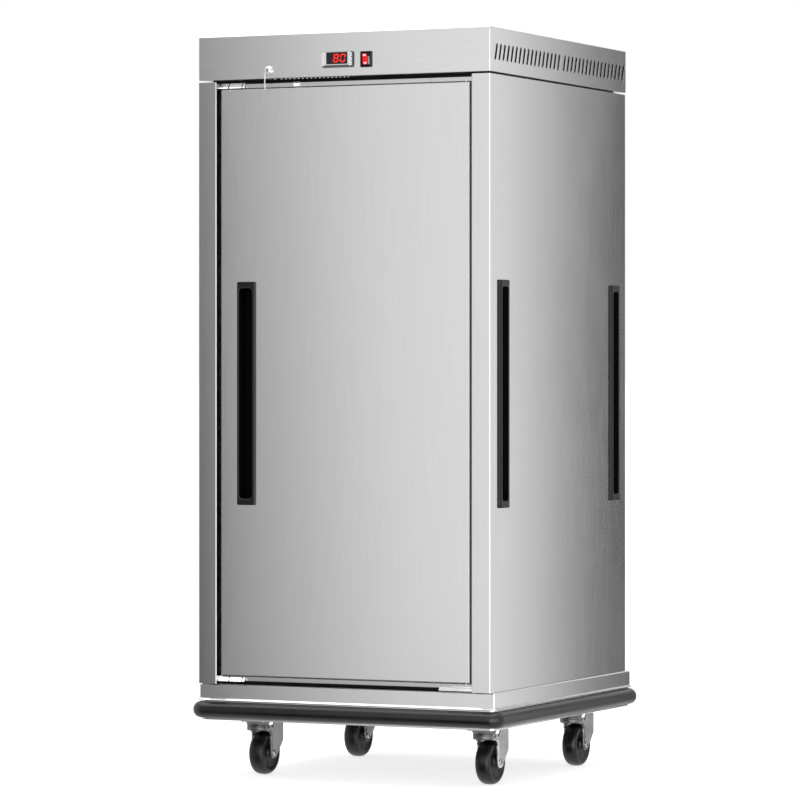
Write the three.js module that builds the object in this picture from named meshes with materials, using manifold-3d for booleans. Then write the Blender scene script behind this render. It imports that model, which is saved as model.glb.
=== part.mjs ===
// Heated food holding cabinet on four swivel castors: a tall insulated box with
// one inset door, a header that holds the electrics, a stainless base band with
// a wrap-round bumper, and recessed grab handles.
// Units are millimetres. +Z is up, the door faces -Y, and the origin is on the
// floor under the centre of the whole cabinet.

import * as THREE from "three";
import { mergeVertices } from "three/addons/utils/BufferGeometryUtils.js";
import Module from "manifold-3d";

const wasm = await Module();
wasm.setup();

// ---------------------------------------------------------------- dimensions
const GAP = 0.3; // clearance between pieces that touch
const T = 1.2; // sheet metal thickness

// body box
const HALF_W = 366.5;
const FRONT_Y = -412.5;
const BACK_Y = 387.5;
const BODY_Z0 = 221;
const BODY_Z1 = 1600.4;
const HEAD_Z0 = 1604.7;
const HEAD_Z1 = 1705;

// stiles and door opening
const OPEN_HALF = 320.75; // half width of the opening between the stiles
const JAMB_DEEP = 55;
const DOOR_HALF = 313.25;
const DOOR_FACE_Y = FRONT_Y + 7.5;
const DOOR_BACK_Y = DOOR_FACE_Y + 38;
const DOOR_Z0 = 240;
const DOOR_Z1 = 1584;
const PIVOT_X = 301;
const PIVOT_Y = DOOR_FACE_Y + 9;
const PIN_R = 4;

// heated cavity
const CAV_HALF = 290;
const CAV_FRONT = -357.2;
const CAV_BACK = 342;
const CAV_Z0 = 262;
const CAV_Z1 = 1562;

// base band and bumper
const BASE_HALF = 371.5;
const BASE_Y0 = FRONT_Y + 14;
const BASE_Y1 = BACK_Y + 14;
const BASE_Z0 = 137;
const BASE_STEP = 181;
const BASE_Z1 = 220.6;
const BUMP_Z0 = 141;
const BUMP_Z1 = 179;
const BUMP_OUT = 19.7;
const CORNER_R = 15;

// castors
const CASTOR_X = 287.5;
const CASTOR_Y = [FRONT_Y + 145, FRONT_Y + 648];
const TRAIL = 33;
const WHEEL_R = 51;
const PLATE_Z1 = 130;

// grab handles
const GRIP_Z0 = 632;
const GRIP_Z1 = 1142;
const GRIP_W = 44;
const GRIP_PROUD = 12.5;
const GRIP_DEEP = 22;
const SIDE_GRIP_Y = [FRONT_Y + 58.75, FRONT_Y + 709.5];
const DOOR_GRIP_X = -243;

// tray slides
const LEVELS = 11;
const LEVEL_Z0 = 375;
const LEVEL_PITCH = 105;

// vents
const VENT_Z = 1650.6;
const VENT_H = 38;
const VENT_W = 10;
const VENT_LEAN = 11 / 36;

// fan
const FAN_Y = 20;

// header controls
const CTRL_X = -9.5;
const CTRL_Z = 1642.3;
const SWITCH_X = 61.4;
const SWITCH_Z = 1641;
const LOCK_X = -184.5;
const LOCK_Z = 1623;
const INLET_X = -250;
const INLET_Z = 1655;

// ------------------------------------------------------------------- helpers
// A geometry as a solid that can be joined and cut.
function solid(geometry) {
  const g = geometry.index ? geometry.toNonIndexed() : geometry.clone();
  g.deleteAttribute("normal");
  g.deleteAttribute("uv");
  const merged = mergeVertices(g, 1e-4);
  return new wasm.Manifold(
    new wasm.Mesh({
      numProp: 3,
      vertProperties: new Float32Array(merged.attributes.position.array),
      triVerts: new Uint32Array(merged.index.array),
    }),
  );
}

// A box between two corners, its faces exactly at the given coordinates.
function box(x0, x1, y0, y1, z0, z1) {
  const g = new THREE.BoxGeometry(1, 1, 1);
  const p = g.attributes.position;
  for (let i = 0; i < p.count; i++)
    p.setXYZ(i, p.getX(i) < 0 ? x0 : x1, p.getY(i) < 0 ? y0 : y1, p.getZ(i) < 0 ? z0 : z1);
  return solid(g);
}

// The axes of a section that is pushed along X, Y or Z. A section along X is
// drawn in (y, z), one along Y in (x, z) and one along Z in (x, y).
const FRAMES = {
  x: [new THREE.Vector3(0, 1, 0), new THREE.Vector3(0, 0, 1), new THREE.Vector3(1, 0, 0)],
  y: [new THREE.Vector3(1, 0, 0), new THREE.Vector3(0, 0, 1), new THREE.Vector3(0, -1, 0)],
  z: [new THREE.Vector3(1, 0, 0), new THREE.Vector3(0, 1, 0), new THREE.Vector3(0, 0, 1)],
};

function prism(points, axis, from, to) {
  const shape = new THREE.Shape(points.map((p) => new THREE.Vector2(p[0], p[1])));
  const g = new THREE.ExtrudeGeometry(shape, { depth: to - from, bevelEnabled: false, steps: 1 });
  const m = new THREE.Matrix4().makeBasis(...FRAMES[axis]);
  if (axis === "x") m.setPosition(from, 0, 0);
  if (axis === "y") m.setPosition(0, to, 0);
  if (axis === "z") m.setPosition(0, 0, from);
  return solid(g.applyMatrix4(m));
}

// A turned solid: profile of [radius, distance along the axis], closed on
// itself, or starting and ending on the axis.
function turned(profile, axis, centre, segments, phase = 0) {
  const pts = profile.map((p) => new THREE.Vector2(p[0], p[1]));
  if (profile[0][0] > 0) pts.push(pts[0].clone());
  const g = new THREE.LatheGeometry(pts, segments, phase);
  if (axis === "z") g.rotateX(Math.PI / 2);
  if (axis === "x") g.rotateZ(-Math.PI / 2);
  g.translate(...centre);
  const s = solid(g);
  return s;
}

// A closed lathe comes out facing in when its profile runs the other way round,
// so each profile here runs up the outside and down the bore.
function rod(r, axis, centre, from, to, segments = 16) {
  return turned(
    [
      [0, from],
      [r, from],
      [r, to],
      [0, to],
    ],
    axis,
    centre,
    segments,
  );
}

function roundRect(x0, x1, y0, y1, r, n) {
  const out = [];
  const corners = [
    [x1 - r, y0 + r, -Math.PI / 2],
    [x1 - r, y1 - r, 0],
    [x0 + r, y1 - r, Math.PI / 2],
    [x0 + r, y0 + r, Math.PI],
  ];
  for (const [cx, cy, a0] of corners)
    for (let i = 0; i <= n; i++) {
      const a = a0 + ((Math.PI / 2) * i) / n;
      out.push([cx + r * Math.cos(a), cy + r * Math.sin(a)]);
    }
  return out;
}

const join = (...s) => s.reduce((a, b) => a.add(b));
const cut = (a, ...s) => s.reduce((m, b) => m.subtract(b), a);

// ----------------------------------------------------------------- materials
const mat = (color, roughness, metalness) =>
  new THREE.MeshStandardMaterial({ color, roughness, metalness });
const M = {
  steel: mat(0xc9cbcc, 0.32, 1.0),
  liner: mat(0xd2d4d5, 0.25, 1.0),
  dark: mat(0x141414, 0.6, 0.2),
  wool: mat(0xd8cf9a, 0.95, 0.0),
  rubber: mat(0x2a2a2b, 0.62, 0.0),
  grip: mat(0x0d0d0e, 0.5, 0.0),
  zinc: mat(0xb7babd, 0.35, 1.0),
  tyre: mat(0x161617, 0.65, 0.0),
  chrome: mat(0xe8eaec, 0.12, 1.0),
  bezel: mat(0x8d8f91, 0.45, 0.1),
  key: mat(0xc4c6c8, 0.4, 0.1),
  window: mat(0x0a0b0c, 0.15, 0.0),
  rocker: mat(0xe01818, 0.25, 0.0),
  cast: mat(0x8f9294, 0.5, 0.9),
};

const cabinet = new THREE.Group();
cabinet.name = "food_holding_cabinet";

function place(parent, name, s, material) {
  const m = s.getMesh();
  const verts = new Float32Array(m.numVert * 3);
  for (let i = 0; i < m.numVert; i++)
    for (let k = 0; k < 3; k++) verts[3 * i + k] = m.vertProperties[m.numProp * i + k];
  const g = new THREE.BufferGeometry();
  g.setAttribute("position", new THREE.BufferAttribute(verts, 3));
  g.setIndex(new THREE.BufferAttribute(new Uint32Array(m.triVerts), 1));
  g.computeVertexNormals();
  const mesh = new THREE.Mesh(g, material);
  mesh.name = name;
  parent.add(mesh);
  return mesh;
}

// ---------------------------------------------------------------- base group
const base = new THREE.Group();
cabinet.add(base);

// Base tray: a folded stainless band with a deck, its lower skirt with round
// corners where the bumper wraps it.
{
  const ring = prism(
    roundRect(-BASE_HALF, BASE_HALF, BASE_Y0, BASE_Y1, CORNER_R, 4),
    "z",
    BASE_Z0,
    BASE_STEP + 1,
  );
  const inner = prism(
    roundRect(-BASE_HALF + 2, BASE_HALF - 2, BASE_Y0 + 2, BASE_Y1 - 2, CORNER_R - 2, 4),
    "z",
    BASE_Z0 - 1,
    BASE_Z1 - 2,
  );
  const band = box(-BASE_HALF, BASE_HALF, BASE_Y0, BASE_Y1, BASE_STEP, BASE_Z1);
  place(base, "base_tray", cut(join(ring, band), inner), M.steel);
}

// Chassis: two box-section channels across the cabinet, tied by two rails.
{
  const parts = [];
  for (const y of CASTOR_Y)
    parts.push(box(-340, 340, y - 60, y + 60, PLATE_Z1 + GAP, BASE_Z1 - 2 - GAP));
  for (const s of [-1, 1])
    parts.push(
      box(
        s > 0 ? 200 : -260,
        s > 0 ? 260 : -200,
        CASTOR_Y[0],
        CASTOR_Y[1],
        170,
        BASE_Z1 - 2 - GAP,
      ),
    );
  const hollow = [];
  for (const y of CASTOR_Y)
    hollow.push(box(-350, 350, y - 57, y + 57, PLATE_Z1 + GAP + 3, BASE_Z1 - 5 - GAP));
  // each rail is an open-ended tube that ends inside the channels
  for (const s of [-1, 1])
    hollow.push(
      box(
        s > 0 ? 203 : -257,
        s > 0 ? 257 : -203,
        CASTOR_Y[0] + 50,
        CASTOR_Y[1] - 50,
        173,
        BASE_Z1 - 5 - GAP,
      ),
    );
  place(base, "chassis_frame", cut(join(...parts), ...hollow), M.zinc);
}

// Bumper: one moulded D-section strip that runs all the way round.
{
  const path = [];
  const n = 5;
  const x1 = BASE_HALF + GAP;
  const y0 = BASE_Y0 - GAP;
  const y1 = BASE_Y1 + GAP;
  const r = CORNER_R + GAP;
  const corners = [
    [x1 - r, y0 + r, -Math.PI / 2],
    [x1 - r, y1 - r, 0],
    [-x1 + r, y1 - r, Math.PI / 2],
    [-x1 + r, y0 + r, Math.PI],
  ];
  for (const [cx, cy, a0] of corners)
    for (let i = 0; i <= n; i++) {
      const a = a0 + ((Math.PI / 2) * i) / n;
      path.push([cx + r * Math.cos(a), cy + r * Math.sin(a), Math.cos(a), Math.sin(a)]);
    }
  const zc = (BUMP_Z0 + BUMP_Z1) / 2;
  const h = (BUMP_Z1 - BUMP_Z0) / 2;
  const section = [[0, -h]];
  for (let i = 0; i <= 6; i++) {
    const a = -Math.PI / 2 + (Math.PI * i) / 6;
    section.push([4 + (BUMP_OUT - 4) * Math.max(0, Math.cos(a)), h * Math.sin(a)]);
  }
  section.push([0, h]);
  const pos = [];
  for (const [x, y, nx, ny] of path)
    for (const [o, z] of section) pos.push(x + nx * o, y + ny * o, zc + z);
  const k = section.length;
  const idx = [];
  for (let i = 0; i < path.length; i++)
    for (let j = 0; j < k; j++) {
      const a = i * k + j;
      const b = i * k + ((j + 1) % k);
      const c = ((i + 1) % path.length) * k + j;
      const d = ((i + 1) % path.length) * k + ((j + 1) % k);
      idx.push(a, c, b, b, c, d);
    }
  const g = new THREE.BufferGeometry();
  g.setAttribute("position", new THREE.BufferAttribute(new Float32Array(pos), 3));
  g.setIndex(idx);
  place(base, "bumper", solid(g), M.rubber);
}

// ---------------------------------------------------------------- body group
const body = new THREE.Group();
cabinet.add(body);

// Side panels: one folded sheet each, with the front stile, the jamb return, a
// back flange and top and bottom flanges, and two openings for the grips.
for (const s of [1, -1]) {
  const bx = (a, b, ...rest) => (s > 0 ? box(a, b, ...rest) : box(-b, -a, ...rest));
  const panel = join(
    bx(HALF_W - T, HALF_W, FRONT_Y, BACK_Y, BODY_Z0, BODY_Z1),
    bx(OPEN_HALF, HALF_W, FRONT_Y, FRONT_Y + T, BODY_Z0, BODY_Z1),
    bx(OPEN_HALF, OPEN_HALF + T, FRONT_Y, FRONT_Y + JAMB_DEEP, BODY_Z0, BODY_Z1),
    bx(HALF_W - 22, HALF_W, BACK_Y - 4.3, BACK_Y - 3.1, BODY_Z0, BODY_Z1),
    bx(HALF_W - 22, HALF_W, FRONT_Y + 1, BACK_Y - 3.5, BODY_Z1 - T, BODY_Z1),
    bx(HALF_W - 22, HALF_W, FRONT_Y + 1, BACK_Y - 3.5, BODY_Z0, BODY_Z0 + T),
  );
  const holes = SIDE_GRIP_Y.map((y) =>
    bx(HALF_W - 5, HALF_W + 5, y - 18.3, y + 18.3, GRIP_Z0 + 9, GRIP_Z1 - 9),
  );
  place(body, s > 0 ? "side_panel_right" : "side_panel_left", cut(panel, ...holes), M.steel);
}

// Back panel, let in between the side panels.
place(
  body,
  "back_panel",
  box(-HALF_W + T + GAP, HALF_W - T - GAP, BACK_Y - 2.8, BACK_Y - 1.6, BODY_Z0 + GAP, BODY_Z1 - GAP),
  M.steel,
);

// Header cover: five-sided box with vents in both sides, an inward flange at
// its bottom edge and cut-outs for the controls and the power inlet.
{
  const outer = box(-HALF_W, HALF_W, FRONT_Y, BACK_Y, HEAD_Z0, HEAD_Z1);
  const inside = box(-HALF_W + T, HALF_W - T, FRONT_Y + T, BACK_Y - T, HEAD_Z0 + T, HEAD_Z1 - T);
  const mouth = box(-HALF_W + 20, HALF_W - 20, FRONT_Y + 20, BACK_Y - 20, HEAD_Z0 - 1, HEAD_Z0 + 2 * T);
  let cover = cut(outer, inside, mouth);
  const slots = [];
  const r = VENT_W / 2;
  const half = VENT_H / 2 - r;
  const centres = [];
  for (let i = 0; i < 17; i++) {
    centres.push(FRONT_Y + 34 + 22.24 * i);
    centres.push(FRONT_Y + 423.6 + 22.29 * i);
  }
  for (const yc of centres) {
    const pts = [];
    for (const a of [30, 90, 150]) {
      const t = (a * Math.PI) / 180;
      pts.push([r * Math.cos(t) * 1.12, half + r * Math.sin(t)]);
    }
    for (const a of [210, 270, 330]) {
      const t = (a * Math.PI) / 180;
      pts.push([r * Math.cos(t) * 1.12, -half + r * Math.sin(t)]);
    }
    slots.push(
      prism(
        pts.map(([u, v]) => [yc + u + v * VENT_LEAN, VENT_Z + v]),
        "x",
        -HALF_W - 5,
        HALF_W + 5,
      ),
    );
  }
  cover = cut(
    cover,
    ...slots,
    box(CTRL_X - 36, CTRL_X + 36, FRONT_Y - 5, FRONT_Y + 5, CTRL_Z - 15, CTRL_Z + 15),
    box(SWITCH_X - 13.2, SWITCH_X + 13.2, FRONT_Y - 5, FRONT_Y + 5, SWITCH_Z - 17.7, SWITCH_Z + 17.7),
    rod(8.6, "y", [LOCK_X, 0, LOCK_Z], FRONT_Y - 5, FRONT_Y + 5, 20),
    box(INLET_X - 24.3, INLET_X + 24.3, BACK_Y - 5, BACK_Y + 5, INLET_Z - 14.3, INLET_Z + 14.3),
  );
  place(body, "header_cover", cover, M.steel);
}

// Header deck: the dark spacer between the body and the header, with holes for
// the fan shaft and the two heater legs.
const LEG_Y = FAN_Y + 108;
const shaftHoles = (z0, z1) => [
  rod(16, "z", [0, FAN_Y, 0], z0, z1, 16),
  rod(7, "z", [-20, LEG_Y, 0], z0, z1, 10),
  rod(7, "z", [20, LEG_Y, 0], z0, z1, 10),
];
place(
  body,
  "header_deck",
  cut(
    box(-354, 354, FRONT_Y + 12, BACK_Y - 12, BODY_Z1 + GAP, HEAD_Z0 - GAP),
    ...shaftHoles(BODY_Z1 - 5, HEAD_Z0 + 5),
  ),
  M.dark,
);

// Rails above and below the door. The corners are left free for the hinge
// brackets.
place(
  body,
  "head_rail",
  join(
    box(-213, 213, -399, -358, DOOR_Z1 + 2, DOOR_Z1 + 11),
    box(-OPEN_HALF + GAP, OPEN_HALF - GAP, -384, -358, DOOR_Z1 + 2, BODY_Z1 - GAP),
  ),
  M.steel,
);
place(
  body,
  "sill_rail",
  join(
    box(-213, 213, -399, -358, DOOR_Z0 - 11, DOOR_Z0 - 2),
    box(-OPEN_HALF + GAP, OPEN_HALF - GAP, -384, -358, BODY_Z0 + GAP, DOOR_Z0 - 2),
  ),
  M.steel,
);

// Hinge brackets with their pins, at the right of the opening.
place(
  body,
  "hinge_bracket_bottom",
  join(
    box(216.3, OPEN_HALF - GAP, -408, -384.3, 226, 231),
    box(256, OPEN_HALF - GAP, -408, -384.3, 230, DOOR_Z0 - 2),
    rod(PIN_R, "z", [PIVOT_X, PIVOT_Y, 0], 235, DOOR_Z0 + 16, 16),
  ),
  M.zinc,
);
place(
  body,
  "hinge_bracket_top",
  join(
    box(216.3, OPEN_HALF - GAP, -408, -384.3, 1593, 1598),
    box(256, OPEN_HALF - GAP, -408, -384.3, DOOR_Z1 + 2, 1594),
    rod(PIN_R, "z", [PIVOT_X, PIVOT_Y, 0], DOOR_Z1 - 16, 1590, 16),
  ),
  M.zinc,
);

// Inner liner: the heated cavity, open at the front, with the flange that the
// door gasket closes on.
{
  const shell = box(
    -CAV_HALF - T,
    CAV_HALF + T,
    CAV_FRONT,
    CAV_BACK + T,
    CAV_Z0 - T,
    CAV_Z1 + T,
  );
  const flange = box(
    -OPEN_HALF + GAP,
    OPEN_HALF - GAP,
    CAV_FRONT,
    CAV_FRONT + T,
    DOOR_Z0,
    DOOR_Z1,
  );
  const space = box(-CAV_HALF, CAV_HALF, CAV_FRONT - 5, CAV_BACK, CAV_Z0, CAV_Z1);
  place(
    body,
    "inner_liner",
    cut(join(shell, flange), space, ...shaftHoles(CAV_Z1 - 5, CAV_Z1 + 5)),
    M.liner,
  );
}

// Insulation jacket between the liner and the outer panels.
{
  const outer = box(-364.6, 364.6, CAV_FRONT + T + GAP, BACK_Y - 4.8, BODY_Z0 + T + GAP, BODY_Z1 - T - GAP);
  const liner = box(
    -CAV_HALF - T - GAP,
    CAV_HALF + T + GAP,
    CAV_FRONT - 10,
    CAV_BACK + T + GAP,
    CAV_Z0 - T - GAP,
    CAV_Z1 + T + GAP,
  );
  const pockets = [];
  for (const s of [1, -1])
    for (const y of SIDE_GRIP_Y)
      pockets.push(
        box(
          s > 0 ? HALF_W - GRIP_DEEP - 1 : -HALF_W - 5,
          s > 0 ? HALF_W + 5 : -HALF_W + GRIP_DEEP + 1,
          y - 18.6,
          y + 18.6,
          GRIP_Z0 + 8.6,
          GRIP_Z1 - 8.6,
        ),
      );
  place(
    body,
    "insulation_jacket",
    cut(outer, liner, ...pockets, ...shaftHoles(CAV_Z1 - 5, BODY_Z1 + 5)),
    M.wool,
  );
}

// Grab handle: a moulded frame that stands proud of the panel, with a tub let
// into the wall. Built facing +X at the origin and turned into place.
function grip() {
  const w = GRIP_W / 2;
  const frame = box(GAP, GRIP_PROUD, -w, w, GRIP_Z0, GRIP_Z1);
  const tub = box(-GRIP_DEEP, GAP + 1, -18, 18, GRIP_Z0 + 9.3, GRIP_Z1 - 9.3);
  const recess = box(-GRIP_DEEP + 2, GRIP_PROUD + 5, -16, 16, GRIP_Z0 + 13, GRIP_Z1 - 13);
  return cut(join(frame, tub), recess);
}
const grips = [
  ["side_handle_right_front", HALF_W, SIDE_GRIP_Y[0], 0],
  ["side_handle_right_rear", HALF_W, SIDE_GRIP_Y[1], 0],
  ["side_handle_left_front", -HALF_W, SIDE_GRIP_Y[0], Math.PI],
  ["side_handle_left_rear", -HALF_W, SIDE_GRIP_Y[1], Math.PI],
];
for (const [name, x, y, turn] of grips) {
  const mesh = place(body, name, grip(), M.grip);
  mesh.position.set(x, y, 0);
  mesh.rotation.z = turn;
}

// --------------------------------------------------------- inside the cavity
// Tray slides: two uprights and eleven angle runners a side.
for (const s of [1, -1]) {
  const bx = (a, b, ...rest) => (s > 0 ? box(a, b, ...rest) : box(-b, -a, ...rest));
  const parts = [];
  for (const y of [-285, 245])
    parts.push(bx(286, 289.4, y - 15, y + 15, 320, LEVEL_Z0 + LEVEL_PITCH * (LEVELS - 1) + 45));
  for (let i = 0; i < LEVELS; i++) {
    const z = LEVEL_Z0 + LEVEL_PITCH * i;
    parts.push(bx(284.4, 286.4, -335, 325, z, z + 20));
    parts.push(bx(257, 285, -335, 325, z, z + 1.8));
  }
  place(body, s > 0 ? "tray_slides_right" : "tray_slides_left", join(...parts), M.liner);
}

// Water pan on the cavity floor.
place(
  body,
  "water_pan",
  cut(
    box(-162.5, 162.5, -320, -55, CAV_Z0 + 0.4, CAV_Z0 + 40),
    box(-161, 161, -318.5, -56.5, CAV_Z0 + 2, CAV_Z0 + 50),
  ),
  M.liner,
);

// Air baffle under the ceiling, with the fan's intake.
{
  const z = 1505;
  const plate = box(-277.4, 277.4, -299.4, 319.4, z, z + T);
  const sides = [
    box(-278, -278 + T, -300, 320, z - 1, CAV_Z1 - GAP),
    box(278 - T, 278, -300, 320, z - 1, CAV_Z1 - GAP),
  ];
  // guard openings: two rings of four sectors
  const holes = [];
  for (let q = 0; q < 4; q++)
    for (const [r0, r1] of [
      [17, 38],
      [45, 69],
    ]) {
      const pts = [];
      const a0 = (Math.PI / 2) * q + 0.31 + 4 / r0;
      const a1 = (Math.PI / 2) * (q + 1) + 0.31 - 4 / r0;
      const b0 = (Math.PI / 2) * q + 0.31 + 4 / r1;
      const b1 = (Math.PI / 2) * (q + 1) + 0.31 - 4 / r1;
      for (let i = 0; i <= 4; i++) {
        const b = b0 + ((b1 - b0) * i) / 4;
        pts.push([r1 * Math.cos(b), FAN_Y + r1 * Math.sin(b)]);
      }
      for (let i = 2; i >= 0; i--) {
        const a = a0 + ((a1 - a0) * i) / 2;
        pts.push([r0 * Math.cos(a), FAN_Y + r0 * Math.sin(a)]);
      }
      holes.push(prism(pts, "z", z - 5, z + 5));
    }
  place(body, "air_baffle", cut(join(plate, ...sides), ...holes), M.liner);
}

// Ring heater round the fan wheel, its legs rising to the header.
{
  const ring = [];
  for (let i = 0; i < 8; i++) {
    const a = (Math.PI * 2 * i) / 8 + Math.PI / 8;
    ring.push([108 + 4 * Math.cos(a), 4 * Math.sin(a)]);
  }
  place(
    body,
    "heater_element",
    join(
      turned(ring, "z", [0, FAN_Y, 1540], 24),
      rod(4, "z", [-20, LEG_Y - 2, 0], 1539, 1618, 10),
      rod(4, "z", [20, LEG_Y - 2, 0], 1539, 1618, 10),
    ),
    M.cast,
  );
}

// Fan motor on the deck, its shaft down through the ceiling.
place(
  body,
  "fan_motor",
  turned(
    [
      [0, 1524],
      [5, 1524],
      [5, HEAD_Z0],
      [58, HEAD_Z0],
      [58, HEAD_Z0 + 3],
      [45, HEAD_Z0 + 3],
      [45, HEAD_Z0 + 62],
      [30, HEAD_Z0 + 70],
      [0, HEAD_Z0 + 70],
    ],
    "z",
    [0, FAN_Y, 0],
    20,
  ),
  M.cast,
);

// Fan wheel: hub, back plate and eight radial blades.
{
  const c = [0, FAN_Y, 0];
  const parts = [rod(10, "z", c, 1526, 1556, 16), rod(76, "z", c, 1553.5, 1555.5, 24)];
  for (let i = 0; i < 8; i++) {
    const a = (Math.PI * 2 * i) / 8;
    parts.push(
      solid(
        new THREE.BoxGeometry(42, 1.6, 25)
          .translate(53, 0, 0)
          .rotateZ(0.12)
          .rotateZ(a)
          .translate(0, FAN_Y, 1541.5),
      ),
    );
  }
  place(
    body,
    "fan_impeller",
    cut(join(...parts), rod(5.4, "z", c, 1500, 1600, 16)),
    M.cast,
  );
}

// ------------------------------------------------------------ header controls
const controls = new THREE.Group();
cabinet.add(controls);

const CTRL_FACE = -420.9;
const KEYS = [
  ["key_left_top", -44.2 + 0, 10.2],
  ["key_left_middle", -44.2, 0],
  ["key_left_bottom", -44.2, -10.2],
  ["key_right_top", 24.6, 10.2],
  ["key_right_middle", 24.6, 0],
  ["key_right_bottom", 24.6, -10.2],
];
const KEY_W = 7.4;
const KEY_H = 8.4;
{
  const bezel = prism(
    roundRect(CTRL_X - 39, CTRL_X + 39, CTRL_Z - 18, CTRL_Z + 18, 3.5, 3),
    "y",
    CTRL_FACE,
    FRONT_Y - GAP,
  );
  const rear = box(CTRL_X - 35.5, CTRL_X + 35.5, FRONT_Y - 1, FRONT_Y + 58, CTRL_Z - 14.5, CTRL_Z + 14.5);
  const windowSeat = box(-35.3, 17.9, CTRL_FACE - 5, CTRL_FACE + 2.5, CTRL_Z - 10.8, CTRL_Z + 16.3);
  const seats = KEYS.map(([, x, z]) =>
    box(
      x - KEY_W / 2 - GAP,
      x + KEY_W / 2 + GAP,
      CTRL_FACE - 5,
      CTRL_FACE + 5,
      CTRL_Z + z - KEY_H / 2 - GAP,
      CTRL_Z + z + KEY_H / 2 + GAP,
    ),
  );
  place(controls, "controller_body", cut(join(bezel, rear), windowSeat, ...seats), M.bezel);
  place(
    controls,
    "controller_window",
    box(-35, 17.6, CTRL_FACE + 0.4, CTRL_FACE + 2.2, CTRL_Z - 10.5, CTRL_Z + 16),
    M.window,
  );
  for (const [name, x, z] of KEYS)
    place(
      controls,
      name,
      box(
        x - KEY_W / 2,
        x + KEY_W / 2,
        CTRL_FACE - 0.6,
        CTRL_FACE + 4.2,
        CTRL_Z + z - KEY_H / 2,
        CTRL_Z + z + KEY_H / 2,
      ),
      M.key,
    );
}

// Rocker switch: housing and rocker, the rocker's top edge out at rest.
{
  const bezel = box(SWITCH_X - 14.3, SWITCH_X + 14.3, -417, FRONT_Y - GAP, SWITCH_Z - 18.2, SWITCH_Z + 18.2);
  const rear = box(SWITCH_X - 12.7, SWITCH_X + 12.7, FRONT_Y - 1, FRONT_Y + 24.5, SWITCH_Z - 17.2, SWITCH_Z + 17.2);
  const well = box(SWITCH_X - 10.2, SWITCH_X + 10.2, -425, FRONT_Y + 22, SWITCH_Z - 16, SWITCH_Z + 16);
  place(controls, "switch_housing", cut(join(bezel, rear), well), M.dark);
  const rocker = prism(
    [
      [-7.1, 13.5],
      [-2.3, 0],
      [-1.3, -14.2],
      [4, -13],
      [11, -6],
      [11, 6],
      [4, 13],
    ].map(([y, z]) => [FRONT_Y + y, SWITCH_Z + z]),
    "x",
    SWITCH_X - 9.8,
    SWITCH_X + 9.8,
  );
  place(controls, "switch_rocker", rocker, M.rocker);
}

// Door lock in the header: a fixed barrel, and a plug whose narrow latch blade
// hangs in front of the door's top edge.
{
  const c = [LOCK_X, 0, LOCK_Z];
  place(
    controls,
    "lock_barrel",
    turned(
      [
        [5.2, FRONT_Y - 3.3],
        [5.2, FRONT_Y + 18],
        [8, FRONT_Y + 18],
        [8, FRONT_Y - GAP],
        [10.2, FRONT_Y - GAP],
        [10.2, FRONT_Y - 3.3],
      ].reverse(),
      "y",
      c,
      20,
    ),
    M.chrome,
  );
  const plug = join(
    rod(9.2, "y", c, -421.4, FRONT_Y - 3.6, 24),
    rod(4.7, "y", c, FRONT_Y - 4, FRONT_Y + 20, 16),
    box(LOCK_X - 9.9, LOCK_X - 7.1, -419, -417, LOCK_Z - 44, LOCK_Z),
  );
  place(
    controls,
    "lock_plug",
    cut(plug, box(LOCK_X - 0.9, LOCK_X + 0.9, -423, -418.6, LOCK_Z - 4.2, LOCK_Z + 4.2)),
    M.chrome,
  );
}

// Power inlet in the back of the header.
{
  const flange = box(INLET_X - 29, INLET_X + 29, BACK_Y + GAP, BACK_Y + 3, INLET_Z - 17, INLET_Z + 17);
  const shell = box(INLET_X - 24, INLET_X + 24, BACK_Y - 30, BACK_Y + 1, INLET_Z - 14, INLET_Z + 14);
  const recess = box(INLET_X - 21, INLET_X + 21, BACK_Y - 20, BACK_Y + 5, INLET_Z - 11, INLET_Z + 11);
  const pins = [-13, 0, 13].map((x) =>
    box(INLET_X + x - 1.2, INLET_X + x + 1.2, BACK_Y - 21, BACK_Y - 5, INLET_Z - 4, INLET_Z + 4),
  );
  place(controls, "power_inlet", join(cut(join(flange, shell), recess), ...pins), M.dark);
}

// Terminal block on the deck, beside the fan motor.
{
  const lugs = [];
  for (let i = 0; i < 5; i++)
    lugs.push(box(150 + 14 * i, 160 + 14 * i, 112, 138, HEAD_Z0 + 10, HEAD_Z0 + 24));
  place(
    controls,
    "terminal_block",
    join(box(140, 226, 105, 145, HEAD_Z0 + 0.1, HEAD_Z0 + 12), ...lugs),
    M.dark,
  );
}

// ---------------------------------------------------------------- door group
const door = new THREE.Group();
cabinet.add(door);

const gripSlot = (y0, y1, m) =>
  box(DOOR_GRIP_X - 18 - m, DOOR_GRIP_X + 18 + m, y0, y1, GRIP_Z0 + 9.3 - m, GRIP_Z1 - 9.3 + m);

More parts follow.
